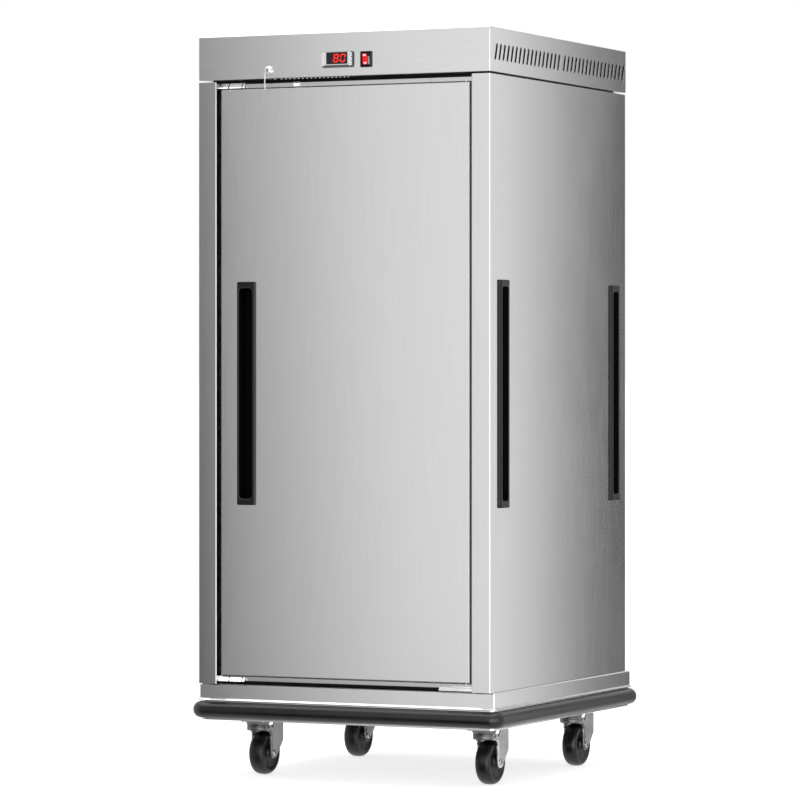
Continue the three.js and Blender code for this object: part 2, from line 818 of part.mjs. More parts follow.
// Outer door skin: a folded pan with a welded block at each pivot.
{
  const pan = cut(
    box(-DOOR_HALF, DOOR_HALF, DOOR_FACE_Y, DOOR_BACK_Y, DOOR_Z0, DOOR_Z1),
    box(-DOOR_HALF + T, DOOR_HALF - T, DOOR_FACE_Y + T, DOOR_BACK_Y + 5, DOOR_Z0 + T, DOOR_Z1 - T),
  );
  const blocks = [
    box(288, DOOR_HALF - 0.5, DOOR_FACE_Y + 0.5, DOOR_FACE_Y + 22, DOOR_Z0 + 0.5, DOOR_Z0 + 24),
    box(288, DOOR_HALF - 0.5, DOOR_FACE_Y + 0.5, DOOR_FACE_Y + 22, DOOR_Z1 - 24, DOOR_Z1 - 0.5),
  ];
  const bores = [
    rod(PIN_R + 0.3, "z", [PIVOT_X, PIVOT_Y, 0], DOOR_Z0 - 5, DOOR_Z0 + 19, 16),
    rod(PIN_R + 0.3, "z", [PIVOT_X, PIVOT_Y, 0], DOOR_Z1 - 19, DOOR_Z1 + 5, 16),
  ];
  place(
    door,
    "door_skin",
    cut(join(pan, ...blocks), ...bores, gripSlot(DOOR_FACE_Y - 5, DOOR_FACE_Y + 5, 0.3)),
    M.steel,
  );
}

// Inner door panel.
place(
  door,
  "door_inner_panel",
  box(
    -DOOR_HALF + T + GAP,
    DOOR_HALF - T - GAP,
    DOOR_BACK_Y - T,
    DOOR_BACK_Y,
    DOOR_Z0 + T + GAP,
    DOOR_Z1 - T - GAP,
  ),
  M.liner,
);

// Insulation slab in the door.
place(
  door,
  "door_insulation",
  cut(
    box(
      -DOOR_HALF + T + GAP,
      DOOR_HALF - T - GAP,
      DOOR_FACE_Y + T + GAP,
      DOOR_BACK_Y - T - GAP,
      DOOR_Z0 + T + GAP,
      DOOR_Z1 - T - GAP,
    ),
    gripSlot(DOOR_FACE_Y - 5, DOOR_FACE_Y + GRIP_DEEP + 0.6, 0.6),
    box(287, DOOR_HALF, DOOR_FACE_Y - 1, DOOR_FACE_Y + 23, DOOR_Z0 - 1, DOOR_Z0 + 25),
    box(287, DOOR_HALF, DOOR_FACE_Y - 1, DOOR_FACE_Y + 23, DOOR_Z1 - 25, DOOR_Z1 + 1),
  ),
  M.wool,
);

// Door gasket on the inner panel.
place(
  door,
  "door_gasket",
  cut(
    box(-306, 306, DOOR_BACK_Y + GAP, CAV_FRONT - 0.6, 247, 1577),
    box(-293, 293, DOOR_BACK_Y - 5, CAV_FRONT + 5, 260, 1564),
  ),
  M.rubber,
);

// Door handle, the same moulding as the side handles.
{
  const mesh = place(door, "door_handle", grip(), M.grip);
  mesh.position.set(DOOR_GRIP_X, DOOR_FACE_Y, 0);
  mesh.rotation.z = -Math.PI / 2;
}

// ------------------------------------------------------------------- castors
const WHEEL_SIDES = 24;
const NAMES = [
  ["front_left", -CASTOR_X, CASTOR_Y[0]],
  ["front_right", CASTOR_X, CASTOR_Y[0]],
  ["rear_left", -CASTOR_X, CASTOR_Y[1]],
  ["rear_right", CASTOR_X, CASTOR_Y[1]],
];
for (const [name, cx, cy] of NAMES) {
  const castor = new THREE.Group();
  castor.position.set(cx, cy, 0);
  cabinet.add(castor);

  // top plate, dished down to the fixed half of the swivel race
  place(
    castor,
    "castor_plate_" + name,
    join(
      box(-31, 31, -30, 30, PLATE_Z1 - 4, PLATE_Z1),
      turned(
        [
          [0, 117.5],
          [26, 117.5],
          [29.5, PLATE_Z1 - 3],
          [0, PLATE_Z1 - 3],
        ],
        "z",
        [0, 0, 0],
        16,
      ),
    ),
    M.zinc,
  );

  // fork: crown, turning half of the race and two tall cheeks
  const leg = (x) =>
    prism(
      [
        [-8, 104.6],
        [8, 102],
        [16, 97],
        [18, 90],
        [18, 48],
        [22, 41],
        [29, 38],
        [37, 38],
        [45, 42],
        [63, 58],
        [81, 78],
        [81, 124],
        [36, 124],
        [30, 117],
        [-8, 117],
      ],
      "x",
      x,
      x + 3,
    );
  place(
    castor,
    "castor_fork_" + name,
    cut(
      join(
        rod(25.5, "z", [0, 0, 0], 104.6, 117.2, 16),
        box(-25, 25, -8, 81, 104.6, 107),
        leg(22),
        leg(-25),
      ),
      rod(6.35, "x", [0, TRAIL, WHEEL_R], -40, 40, 12),
    ),
    M.zinc,
  );

  // axle bolt with its head and nut
  place(
    castor,
    "castor_axle_" + name,
    turned(
      [
        [0, -29],
        [7, -29],
        [7, -25.3],
        [5.8, -25.3],
        [5.8, 25.3],
        [7, 25.3],
        [7, 29],
        [0, 29],
      ],
      "x",
      [0, TRAIL, WHEEL_R],
      12,
    ),
    M.zinc,
  );

  // wheel with a rounded tread; a flat of its polygon rests on the floor
  const k = 1 / Math.cos(Math.PI / WHEEL_SIDES);
  const profile = [
    [6.4, -20.4],
    [15, -20.4],
    [19, -14],
    [34, -14],
    [42, -18.5],
    [48.4, -14],
    [51, -5],
    [51, 5],
    [48.4, 14],
    [42, 18.5],
    [34, 14],
    [19, 14],
    [15, 20.4],
    [6.4, 20.4],
  ].map(([r, x]) => [r * k, x]);
  place(
    castor,
    "castor_wheel_" + name,
    turned(profile, "x", [0, TRAIL, WHEEL_R], WHEEL_SIDES, Math.PI / WHEEL_SIDES),
    M.tyre,
  );
}

export default cabinet;
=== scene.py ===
import math
import random

import bmesh
import bpy
from mathutils import Matrix, Vector
from mathutils.geometry import delaunay_2d_cdt

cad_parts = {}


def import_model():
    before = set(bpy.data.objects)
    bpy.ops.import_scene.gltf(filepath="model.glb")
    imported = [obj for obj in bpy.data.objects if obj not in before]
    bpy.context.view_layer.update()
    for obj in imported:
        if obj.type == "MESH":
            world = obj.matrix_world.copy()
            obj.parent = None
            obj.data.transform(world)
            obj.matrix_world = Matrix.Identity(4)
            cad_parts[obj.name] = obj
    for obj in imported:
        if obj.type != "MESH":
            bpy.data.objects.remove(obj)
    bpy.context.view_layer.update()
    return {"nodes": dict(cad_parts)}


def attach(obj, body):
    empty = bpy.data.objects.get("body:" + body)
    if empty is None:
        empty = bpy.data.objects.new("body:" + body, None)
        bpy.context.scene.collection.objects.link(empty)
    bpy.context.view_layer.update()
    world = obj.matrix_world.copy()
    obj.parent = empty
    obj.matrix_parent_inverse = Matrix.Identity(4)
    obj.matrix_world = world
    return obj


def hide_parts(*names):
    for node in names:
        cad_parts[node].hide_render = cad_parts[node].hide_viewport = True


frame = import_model()
NODES = frame["nodes"]
SCENE = bpy.context.scene
MM = 0.001
PI = math.pi


def rad(a):
    return a * PI / 180.0


# ============================================================ node materials
def nodes_of(name):
    m = bpy.data.materials.new(name)
    m.use_nodes = True
    nt = m.node_tree
    nt.nodes.clear()
    out = nt.nodes.new("ShaderNodeOutputMaterial")
    sh = nt.nodes.new("ShaderNodeBsdfPrincipled")
    nt.links.new(sh.outputs["BSDF"], out.inputs["Surface"])
    return m, nt, sh


def coords(nt, scale):
    tc = nt.nodes.new("ShaderNodeTexCoord")
    mp = nt.nodes.new("ShaderNodeMapping")
    mp.inputs["Scale"].default_value = scale
    nt.links.new(tc.outputs["Object"], mp.inputs["Vector"])
    return mp.outputs["Vector"]


def noise(nt, scale, detail=3.0, rough=0.55, size=1.0, distortion=0.0):
    n = nt.nodes.new("ShaderNodeTexNoise")
    n.inputs["Scale"].default_value = size
    n.inputs["Detail"].default_value = detail
    n.inputs["Roughness"].default_value = rough
    n.inputs["Distortion"].default_value = distortion
    nt.links.new(coords(nt, scale), n.inputs["Vector"])
    return n.outputs["Fac"]


def remap(nt, value, a, b, lo=0.3, hi=0.7):
    r = nt.nodes.new("ShaderNodeMapRange")
    r.inputs["From Min"].default_value = lo
    r.inputs["From Max"].default_value = hi
    r.inputs["To Min"].default_value = a
    r.inputs["To Max"].default_value = b
    nt.links.new(value, r.inputs["Value"])
    return r.outputs["Result"]


def math_node(nt, op, a, b):
    m = nt.nodes.new("ShaderNodeMath")
    m.operation = op
    for i, v in enumerate((a, b)):
        if isinstance(v, (int, float)):
            m.inputs[i].default_value = v
        else:
            nt.links.new(v, m.inputs[i])
    return m.outputs[0]


def tint(nt, fac, dark, light, lo=0.3, hi=0.7):
    r = nt.nodes.new("ShaderNodeValToRGB")
    r.color_ramp.elements[0].position = lo
    r.color_ramp.elements[0].color = (*dark, 1)
    r.color_ramp.elements[1].position = hi
    r.color_ramp.elements[1].color = (*light, 1)
    nt.links.new(fac, r.inputs["Fac"])
    return r.outputs["Color"]


def bump(nt, sh, height, distance, strength=1.0, under=None):
    b = nt.nodes.new("ShaderNodeBump")
    b.inputs["Strength"].default_value = strength
    b.inputs["Distance"].default_value = distance
    nt.links.new(height, b.inputs["Height"])
    if under is not None:
        nt.links.new(under, b.inputs["Normal"])
    nt.links.new(b.outputs["Normal"], sh.inputs["Normal"])
    return b.outputs["Normal"]


def steel(name, grain, dark, light, rough, grain_bump=0.000006, wave=0.00025, smudge=0.02):
    """Brushed sheet: fine grain along one axis, faint smudges, and the slow waviness of thin sheet."""
    m, nt, sh = nodes_of(name)
    along = {"x": (6.0, 1500.0, 1500.0), "y": (1500.0, 6.0, 1500.0), "z": (1500.0, 1500.0, 6.0)}[grain]
    g = noise(nt, along, 4.0, 0.65)
    g2 = noise(nt, tuple(v * 0.35 if v > 100 else v * 2 for v in along), 2.0, 0.5)
    s = noise(nt, (2.1, 2.1, 1.7), 4.0, 0.6)
    mix = math_node(nt, "ADD", math_node(nt, "MULTIPLY", g, 0.7), math_node(nt, "MULTIPLY", g2, 0.3))
    nt.links.new(tint(nt, mix, dark, light, 0.35, 0.65), sh.inputs["Base Color"])
    r = math_node(nt, "ADD", remap(nt, mix, rough - 0.03, rough + 0.03), remap(nt, s, -smudge / 2, smudge, 0.35, 0.7))
    nt.links.new(r, sh.inputs["Roughness"])
    sh.inputs["Metallic"].default_value = 1.0
    slow = bump(nt, sh, noise(nt, (2.6, 2.6, 1.9), 1.0, 0.4), wave, 1.0)
    bump(nt, sh, mix, grain_bump, 0.6, slow)
    return m


def plastic(name, dark, light, rough, spec=0.4, grain=1400.0, depth=0.00006, spread=0.06, coat=0.0):
    """Moulded plastic with a fine spark-eroded texture and slight variation."""
    m, nt, sh = nodes_of(name)
    f = noise(nt, (grain,) * 3, 2.0, 0.6)
    s = noise(nt, (9.0, 9.0, 6.0), 4.0, 0.6)
    nt.links.new(tint(nt, s, dark, light), sh.inputs["Base Color"])
    nt.links.new(math_node(nt, "ADD", remap(nt, s, rough - spread, rough + spread), remap(nt, f, -0.03, 0.03)), sh.inputs["Roughness"])
    sh.inputs["Specular IOR Level"].default_value = spec
    sh.inputs["Coat Weight"].default_value = coat
    if coat:
        sh.inputs["Coat Roughness"].default_value = 0.08
    bump(nt, sh, f, depth, 0.7)
    return m


def metal(name, dark, light, rough, grain=260.0, depth=0.00003, spread=0.06):
    """Plated or cast metal: cloudy colour with a fine crystalline break-up."""
    m, nt, sh = nodes_of(name)
    c = noise(nt, (grain,) * 3, 4.0, 0.6)
    s = noise(nt, (22.0,) * 3, 3.0, 0.6)
    k = math_node(nt, "ADD", math_node(nt, "MULTIPLY", c, 0.5), math_node(nt, "MULTIPLY", s, 0.5))
    nt.links.new(tint(nt, k, dark, light, 0.36, 0.64), sh.inputs["Base Color"])
    nt.links.new(remap(nt, k, rough - spread, rough + spread), sh.inputs["Roughness"])
    sh.inputs["Metallic"].default_value = 1.0
    bump(nt, sh, c, depth, 0.7)
    return m


def wool(name):
    """Mineral wool: matted yellow fibres."""
    m, nt, sh = nodes_of(name)
    a = noise(nt, (60.0, 420.0, 420.0), 5.0, 0.7, 1.0, 1.5)
    b = noise(nt, (420.0, 60.0, 160.0), 5.0, 0.7, 1.0, 1.5)
    k = math_node(nt, "MULTIPLY", math_node(nt, "ADD", a, b), 0.5)
    nt.links.new(tint(nt, k, (0.36, 0.27, 0.09), (0.80, 0.70, 0.38), 0.38, 0.6), sh.inputs["Base Color"])
    nt.links.new(remap(nt, k, 0.85, 0.98), sh.inputs["Roughness"])
    sh.inputs["Sheen Weight"].default_value = 0.3
    bump(nt, sh, k, 0.0016, 1.0)
    return m


def glow(name, dark, light, emit, strength, rough=0.25):
    """A lit lens or LED segment."""
    m, nt, sh = nodes_of(name)
    s = noise(nt, (300.0,) * 3, 3.0, 0.6)
    c = tint(nt, s, dark, light)
    nt.links.new(c, sh.inputs["Base Color"])
    nt.links.new(tint(nt, s, tuple(v * 0.85 for v in emit), emit), sh.inputs["Emission Color"])
    sh.inputs["Emission Strength"].default_value = strength
    sh.inputs["Specular IOR Level"].default_value = 0.12
    nt.links.new(remap(nt, s, rough - 0.05, rough + 0.05), sh.inputs["Roughness"])
    return m


STEEL_Z = steel("steel_panel", "z", (0.597, 0.600, 0.604), (0.643, 0.646, 0.650), 0.19)
STEEL_SIDE = steel("steel_side", "z", (0.585, 0.588, 0.592), (0.63, 0.633, 0.637), 0.185)
# The left side sheet's steel is a darker copy of the side steel: painted shade, to darken the left stile.
STEEL_LEFT_SHADED = steel("steel_left_painted_shade", "z", (0.45, 0.453, 0.457), (0.49, 0.493, 0.497), 0.175)
STEEL_X = steel("steel_header", "x", (0.60, 0.603, 0.607), (0.655, 0.658, 0.662), 0.19)
STEEL_B = steel("steel_base", "x", (0.585, 0.588, 0.592), (0.655, 0.658, 0.662), 0.19, wave=0.0002)
RAIL = steel("steel_rail", "x", (0.52, 0.522, 0.525), (0.58, 0.582, 0.585), 0.30, wave=0.0001)
LINER = steel("liner_steel", "y", (0.60, 0.605, 0.61), (0.68, 0.685, 0.69), 0.20, wave=0.0003)
LINER_Z = steel("liner_steel_upright", "z", (0.60, 0.605, 0.61), (0.68, 0.685, 0.69), 0.22, wave=0.0003)
# This metal is lighter than the stainless and zinc round it: painted highlight on the hinge brackets, the keeper and
# the castor fork rims.
BRIGHT_HIGHLIGHT = metal("bright_metal_painted_highlight", (0.78, 0.79, 0.80), (0.90, 0.905, 0.91), 0.16, 320.0, 0.00001, 0.04)
ZINC = metal("zinc_plate", (0.36, 0.365, 0.375), (0.50, 0.505, 0.515), 0.30, 240.0, 0.00003)
# Darker zinc: painted shade on the castor races under the top plates; the hidden chassis frame takes it too.
ZINC_SHADED = metal("dark_zinc_painted_shade", (0.11, 0.113, 0.117), (0.19, 0.193, 0.198), 0.40, 240.0, 0.00004)
CHROME = metal("chrome", (0.70, 0.71, 0.72), (0.82, 0.825, 0.83), 0.10, 500.0, 0.000006, 0.03)
CAST = metal("cast_metal", (0.22, 0.225, 0.23), (0.36, 0.365, 0.37), 0.48, 200.0, 0.0001)
# Near-black metal put in the gaps round the door and under the header: painted shade where those gaps are dark.
SHADE_BLACK = metal("painted_shade_black", (0.012, 0.012, 0.012), (0.022, 0.022, 0.022), 0.5, 300.0, 0.00004)
SLEEVE = metal("heater_sleeve", (0.20, 0.15, 0.11), (0.34, 0.29, 0.24), 0.38, 120.0, 0.00004)
BUMPER = plastic("bumper_rubber", (0.0024, 0.0024, 0.0023), (0.0044, 0.0044, 0.0042), 0.30, 0.46, 900.0, 0.00004)
GRIP = plastic("grip_plastic", (0.0014, 0.0014, 0.0015), (0.0028, 0.0028, 0.0029), 0.36, 0.26, 1300.0, 0.00005)
# The handle's recess is darker and less glossy than the frame: painted shade in the recess.
GRIP_RECESS_SHADE = plastic("grip_plastic_recess_painted_shade", (0.0006, 0.0006, 0.0006), (0.0012, 0.0012, 0.0012), 0.6, 0.03, 1300.0, 0.00005)
# Lighter plastic on the handle's rim bead and the lip of its recess: painted highlight along those edges.
GRIP_EDGE_HIGHLIGHT = plastic("grip_plastic_painted_highlight", (0.014, 0.014, 0.0145), (0.024, 0.024, 0.0245), 0.34, 0.4, 900.0, 0.00004)
GASKET = plastic("gasket_rubber", (0.028, 0.028, 0.029), (0.05, 0.05, 0.051), 0.55, 0.3, 900.0, 0.00008)
TYRE = plastic("wheel_tyre", (0.0012, 0.0012, 0.0013), (0.0026, 0.0026, 0.0027), 0.36, 0.4, 700.0, 0.00006)
CORE = plastic("wheel_core", (0.0026, 0.0026, 0.0027), (0.0050, 0.0050, 0.0052), 0.42, 0.35, 900.0, 0.00006)
BLACK = plastic("black_plastic", (0.003, 0.003, 0.0031), (0.006, 0.006, 0.0061), 0.34, 0.3, 1600.0, 0.00005)
BEZEL = plastic("bezel_plastic", (0.050, 0.051, 0.053), (0.064, 0.065, 0.067), 0.40, 0.45, 1600.0, 0.00004)
SILVER = plastic("silver_plastic", (0.34, 0.345, 0.35), (0.40, 0.405, 0.41), 0.34, 0.5, 1600.0, 0.00003)
KEY = plastic("key_plastic", (0.43, 0.435, 0.44), (0.50, 0.505, 0.51), 0.42, 0.4, 1200.0, 0.00005)
MARK = plastic("printed_mark", (0.006, 0.006, 0.007), (0.012, 0.012, 0.013), 0.5, 0.3, 1200.0, 0.00003)
WHITE = plastic("white_mark", (0.72, 0.70, 0.69), (0.82, 0.80, 0.79), 0.4, 0.4, 1200.0, 0.00003)
WINDOW = plastic("window_plastic", (0.0015, 0.0015, 0.0016), (0.0028, 0.0028, 0.003), 0.14, 0.35, 500.0, 0.000004, 0.02)
LED = glow("led_segment", (0.5, 0.004, 0.002), (0.6, 0.008, 0.004), (1.0, 0.028, 0.014), 1.1)
LED_OFF = plastic("led_unlit", (0.030, 0.006, 0.005), (0.045, 0.009, 0.008), 0.35, 0.2, 1600.0, 0.00002)
ROCKER_GREY = plastic("rocker_flank", (0.16, 0.162, 0.165), (0.21, 0.212, 0.215), 0.35, 0.4, 1600.0, 0.00003)
LENS = glow("rocker_lens", (0.42, 0.002, 0.002), (0.50, 0.004, 0.004), (1.0, 0.006, 0.006), 0.55)
WOOL = wool("mineral_wool")


# ================================================================ mesh tools
class Part:
    """Vertices in millimetres and faces, each with a material number."""

    def __init__(self):
        self.v, self.f, self.m = [], [], []

    def add(self, verts, faces, mat=0):
        b = len(self.v)
        self.v.extend(tuple(p) for p in verts)
        for f in faces:
            self.f.append(tuple(b + i for i in f))
            self.m.append(mat)
        return self

    def rings(self, rings, mat=0, closed=True, cap_start=False, cap_end=False, loop=False):
        """Skins a list of rings with the same number of points. mat may be a list, one for each band."""
        n = len(rings[0])
        b = len(self.v)
        for r in rings:
            self.v.extend(tuple(p) for p in r)
        count = len(rings) if loop else len(rings) - 1
        for k in range(count):
            mk = mat[k] if isinstance(mat, (list, tuple)) else mat
            k2 = (k + 1) % len(rings)
            for i in range(n if closed else n - 1):
                j = (i + 1) % n
                self.f.append((b + k * n + i, b + k * n + j, b + k2 * n + j, b + k2 * n + i))
                self.m.append(mk)
        first = mat[0] if isinstance(mat, (list, tuple)) else mat
        last = mat[-1] if isinstance(mat, (list, tuple)) else mat
        if cap_start:
            self.f.append(tuple(b + i for i in reversed(range(n))))
            self.m.append(first)
        if cap_end:
            self.f.append(tuple(b + (len(rings) - 1) * n + i for i in range(n)))
            self.m.append(last)
        return self

    def moved(self, fn):
        self.v = [fn(p) for p in self.v]
        return self

    def join(self, other, fn=None, mat=None):
        b = len(self.v)
        self.v.extend(fn(p) if fn else p for p in other.v)
        for f, m in zip(other.f, other.m):
            self.f.append(tuple(b + i for i in f))
            self.m.append(m if mat is None else mat)
        return self


def make(name, part, mats, body, replaces=(), solid=0.0, bevel=0.0, bevel_angle=40, segs=2, weld=True, smooth=180, face_out=True, weighted=True, subsurf=0, even=True):
    """Turns a Part into a piece that rides on a body."""
    me = bpy.data.meshes.new(name)
    me.from_pydata([(x * MM, y * MM, z * MM) for x, y, z in part.v], [], part.f)
    mats = mats if isinstance(mats, (list, tuple)) else [mats]
    for m in mats:
        me.materials.append(m)
    me.polygons.foreach_set("material_index", part.m)
    bm = bmesh.new()
    bm.from_mesh(me)
    if weld:
        bmesh.ops.remove_doubles(bm, verts=bm.verts, dist=2e-6)
    loose = [v for v in bm.verts if not v.link_faces]
    bmesh.ops.delete(bm, geom=loose, context="VERTS")
    if face_out:
        bmesh.ops.recalc_face_normals(bm, faces=bm.faces)
    for f in bm.faces:
        f.smooth = True
    for e in bm.edges:
        if len(e.link_faces) == 2 and e.calc_face_angle(0) > rad(smooth):
            e.smooth = False
    bm.to_mesh(me)
    bm.free()
    o = bpy.data.objects.new(name, me)
    SCENE.collection.objects.link(o)
    if subsurf:
        s = o.modifiers.new("subsurf", "SUBSURF")
        s.levels = s.render_levels = subsurf
    if solid:
        s = o.modifiers.new("sheet", "SOLIDIFY")
        s.thickness = solid * MM
        s.offset = -1.0
        s.use_even_offset = even
    if bevel:
        b = o.modifiers.new("edges", "BEVEL")
        b.width = bevel * MM
        b.segments = segs
        b.limit_method = "ANGLE"
        b.angle_limit = rad(bevel_angle)
        b.use_clamp_overlap = True
        b.miter_outer = "MITER_ARC"
    if weighted:
        w = o.modifiers.new("normals", "WEIGHTED_NORMAL")
        w.keep_sharp = True
        w.weight = 50
    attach(o, body)
    if replaces:
        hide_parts(*replaces)
    return o


def refine(node, name, mats, body, width=0.6, segs=2, angle=25, extra=None, pick=None):
    """The CAD node's own shape as a new piece, its flat faces merged and its edges rounded."""
    bm = bmesh.new()
    bm.from_mesh(NODES[node].data)
    bmesh.ops.remove_doubles(bm, verts=bm.verts, dist=3e-6)
    bmesh.ops.dissolve_limit(bm, angle_limit=rad(0.4), use_dissolve_boundaries=False, verts=bm.verts, edges=bm.edges, delimit=set())
    bmesh.ops.recalc_face_normals(bm, faces=bm.faces)
    chosen = []
    for e in bm.edges:
        if len(e.link_faces) == 2 and e.calc_face_angle(0) > rad(angle):
            mid = (e.verts[0].co + e.verts[1].co) / 2 / MM
            if pick is None or pick(mid, e):
                chosen.append(e)
    if width and chosen:
        bmesh.ops.bevel(bm, geom=chosen, offset=width * MM, offset_type="OFFSET", segments=segs, profile=0.5, affect="EDGES", clamp_overlap=True, miter_outer="ARC")
    for f in bm.faces:
        f.smooth = True
    me = bpy.data.meshes.new(name)
    bm.to_mesh(me)
    bm.free()
    me.materials.clear()
    for m in mats if isinstance(mats, (list, tuple)) else [mats]:
        me.materials.append(m)
    me.polygons.foreach_set("material_index", [0] * len(me.polygons))
    o = bpy.data.objects.new(name, me)
    SCENE.collection.objects.link(o)
    w = o.modifiers.new("normals", "WEIGHTED_NORMAL")
    w.keep_sharp = True
    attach(o, body)
    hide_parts(node)
    return o


def round_rect(x0, x1, y0, y1, r, n=5):
    """Anticlockwise rounded rectangle, the same number of points whatever r is."""
    out = []
    r = max(r, 0.01)
    for cx, cy, a0 in ((x1 - r, y0 + r, -90), (x1 - r, y1 - r, 0), (x0 + r, y1 - r, 90), (x0 + r, y0 + r, 180)):
        for i in range(n + 1):
            a = rad(a0 + 90.0 * i / n)
            out.append((cx + r * math.cos(a), cy + r * math.sin(a)))
    return out


def circle(cx, cy, r, n=24, a0=0.0):
    return [(cx + r * math.cos(a0 + 2 * PI * i / n), cy + r * math.sin(a0 + 2 * PI * i / n)) for i in range(n)]


def inside(p, loop):
    x, y = p
    c = False
    j = len(loop) - 1
    for i in range(len(loop)):
        xi, yi = loop[i]
        xj, yj = loop[j]
        if (yi > y) != (yj > y) and x < (xj - xi) * (y - yi) / (yj - yi) + xi:
            c = not c
        j = i
    return c


def flat(outer, holes=(), lines=()):
    """Triangles of a flat sheet with holes; lines are extra creases. Returns (points, faces)."""
    vs, es = [], []

    def loop(pts):
        b = len(vs)
        vs.extend(Vector(p) for p in pts)
        n = len(pts)
        es.extend((b + i, b + (i + 1) % n) for i in range(n))

    loop(outer)
    for h in holes:
        loop(h)
    for a, b in lines:
        es.append((len(vs), len(vs) + 1))
        vs.append(Vector(a))
        vs.append(Vector(b))
    pts, _, faces, _, _, _ = delaunay_2d_cdt(vs, es, [], 0, 1e-5)
    boxes = [(min(p[0] for p in h), max(p[0] for p in h), min(p[1] for p in h), max(p[1] for p in h)) for h in holes]
    kept = []
    for f in faces:
        c = ((pts[f[0]].x + pts[f[1]].x + pts[f[2]].x) / 3, (pts[f[0]].y + pts[f[1]].y + pts[f[2]].y) / 3)
        if not inside(c, outer):
            continue
        if any(b[0] < c[0] < b[1] and b[2] < c[1] < b[3] and inside(c, h) for b, h in zip(boxes, holes)):
            continue
        area = (pts[f[1]] - pts[f[0]]).cross(pts[f[2]] - pts[f[0]])
        if abs(area) < 1e-7:
            continue
        kept.append(tuple(f) if area > 0 else tuple(reversed(f)))
    return [(p.x, p.y) for p in pts], kept


class Fold:
    """A folded line in plan: corners with bend radii. at(u) gives the point at a length u along it."""

    def __init__(self, pts, radii, closed=False, segs=5):
        line, marks = [], []
        n = len(pts)
        for i in range(n):
            p = Vector(pts[i])
            r = radii[i] if isinstance(radii, (list, tuple)) else radii
            if (not closed and i in (0, n - 1)) or r <= 0:
                line.append((p, False))
                continue
            a, b = Vector(pts[i - 1]), Vector(pts[(i + 1) % n])
            da, db = (a - p).normalized(), (b - p).normalized()
            ang = math.acos(max(-1, min(1, da.dot(db))))
            t = r / math.tan(ang / 2)
            c = p + (da + db).normalized() * (r / math.sin(ang / 2))
            p0, p1 = p + da * t, p + db * t
            a0 = math.atan2(p0.y - c.y, p0.x - c.x)
            a1 = math.atan2(p1.y - c.y, p1.x - c.x)
            d = (a1 - a0 + PI) % (2 * PI) - PI
            for k in range(segs + 1):
                q = a0 + d * k / segs
                line.append((Vector((c.x + r * math.cos(q), c.y + r * math.sin(q))), True))
        if closed:
            line.append(line[0])
        self.u, self.p = [0.0], [line[0][0]]
        self.marks = []
        for q, bend in line[1:]:
            self.u.append(self.u[-1] + (q - self.p[-1]).length)
            self.p.append(q)
        self.marks = self.u[1:-1]
        self.length = self.u[-1]
        self.start = line[0][0]

    def at(self, u):
        if u <= 0:
            return self.p[0]
        for i in range(1, len(self.u)):
            if u <= self.u[i] + 1e-9:
                t = (u - self.u[i - 1]) / max(self.u[i] - self.u[i - 1], 1e-12)
                return self.p[i - 1].lerp(self.p[i], min(1, t))
        return self.p[-1]

    def find(self, x=None, y=None, near=None):
        """Length along the line of its point nearest to a plan point."""
        q = Vector(near)
        best, where = 1e9, 0
        for i in range(1, len(self.u)):
            a, b = self.p[i - 1], self.p[i]
            d = b - a
            t = max(0, min(1, (q - a).dot(d) / max(d.length_squared, 1e-12)))
            e = (a + d * t - q).length
            if e < best:
                best, where = e, self.u[i - 1] + t * (self.u[i] - self.u[i - 1])
        return where


def folded(fold, v0, v1, holes=(), fn=None):
    """A sheet folded along a line, from v0 to v1 across it, with holes given along (u, v)."""
    lines = [((u, v0 - 1), (u, v1 + 1)) for u in fold.marks]
    pts, faces = flat([(0, v0), (fold.length, v0), (fold.length, v1), (0, v1)], holes, lines)
    out = []
    for u, v in pts:
        q = fold.at(u)
        out.append(fn(q.x, q.y, v) if fn else (q.x, q.y, v))
    return Part().add(out, faces)


def turned(profile, n, place, start=0.0, mat=0):
    """Revolves (radius, height) about an axis. place(a, b, c) maps local to world, c along the axis."""
    p = Part()
    closed = profile[0] == profile[-1]
    prof = profile[:-1] if closed else profile
    rings = []
    for i in range(n):
        a = start + 2 * PI * i / n
        rings.append([place(r * math.cos(a), r * math.sin(a), h) for r, h in prof])
    p.rings(rings, mat, closed=closed, loop=True)
    return p


def axis_z(cx, cy, cz=0.0):
    return lambda a, b, c: (cx + a, cy + b, cz + c)


def axis_x(cx, cy, cz, s=1):
    return lambda a, b, c: (cx + s * c, cy + s * a, cz + b)


def axis_y(cx, cy, cz, s=-1):
    """c runs towards -Y with s -1 (outwards from a front face)."""
    return lambda a, b, c: (cx - s * a, cy + s * c, cz + b)


def prism(outline, c0, c1, place, mat=0, holes=()):
    """A flat outline with thickness, in local (a, b), from c0 to c1."""
    pts, faces = flat(outline, holes)
    p = Part()
    p.add([place(x, y, c1) for x, y in pts], faces, mat)
    p.add([place(x, y, c0) for x, y in pts], [tuple(reversed(f)) for f in faces], mat)
    for k, loop in enumerate((outline, *holes)):
        a = [place(x, y, c0) for x, y in loop]
        b = [place(x, y, c1) for x, y in loop]
        p.rings([a, b], mat)
    return p


def fillet_poly(pts, radii, segs=4):
    """Rounds the corners of a polygon."""
    f = Fold(list(pts), radii, closed=True, segs=segs)
    return [(p.x, p.y) for p in f.p[:-1]]


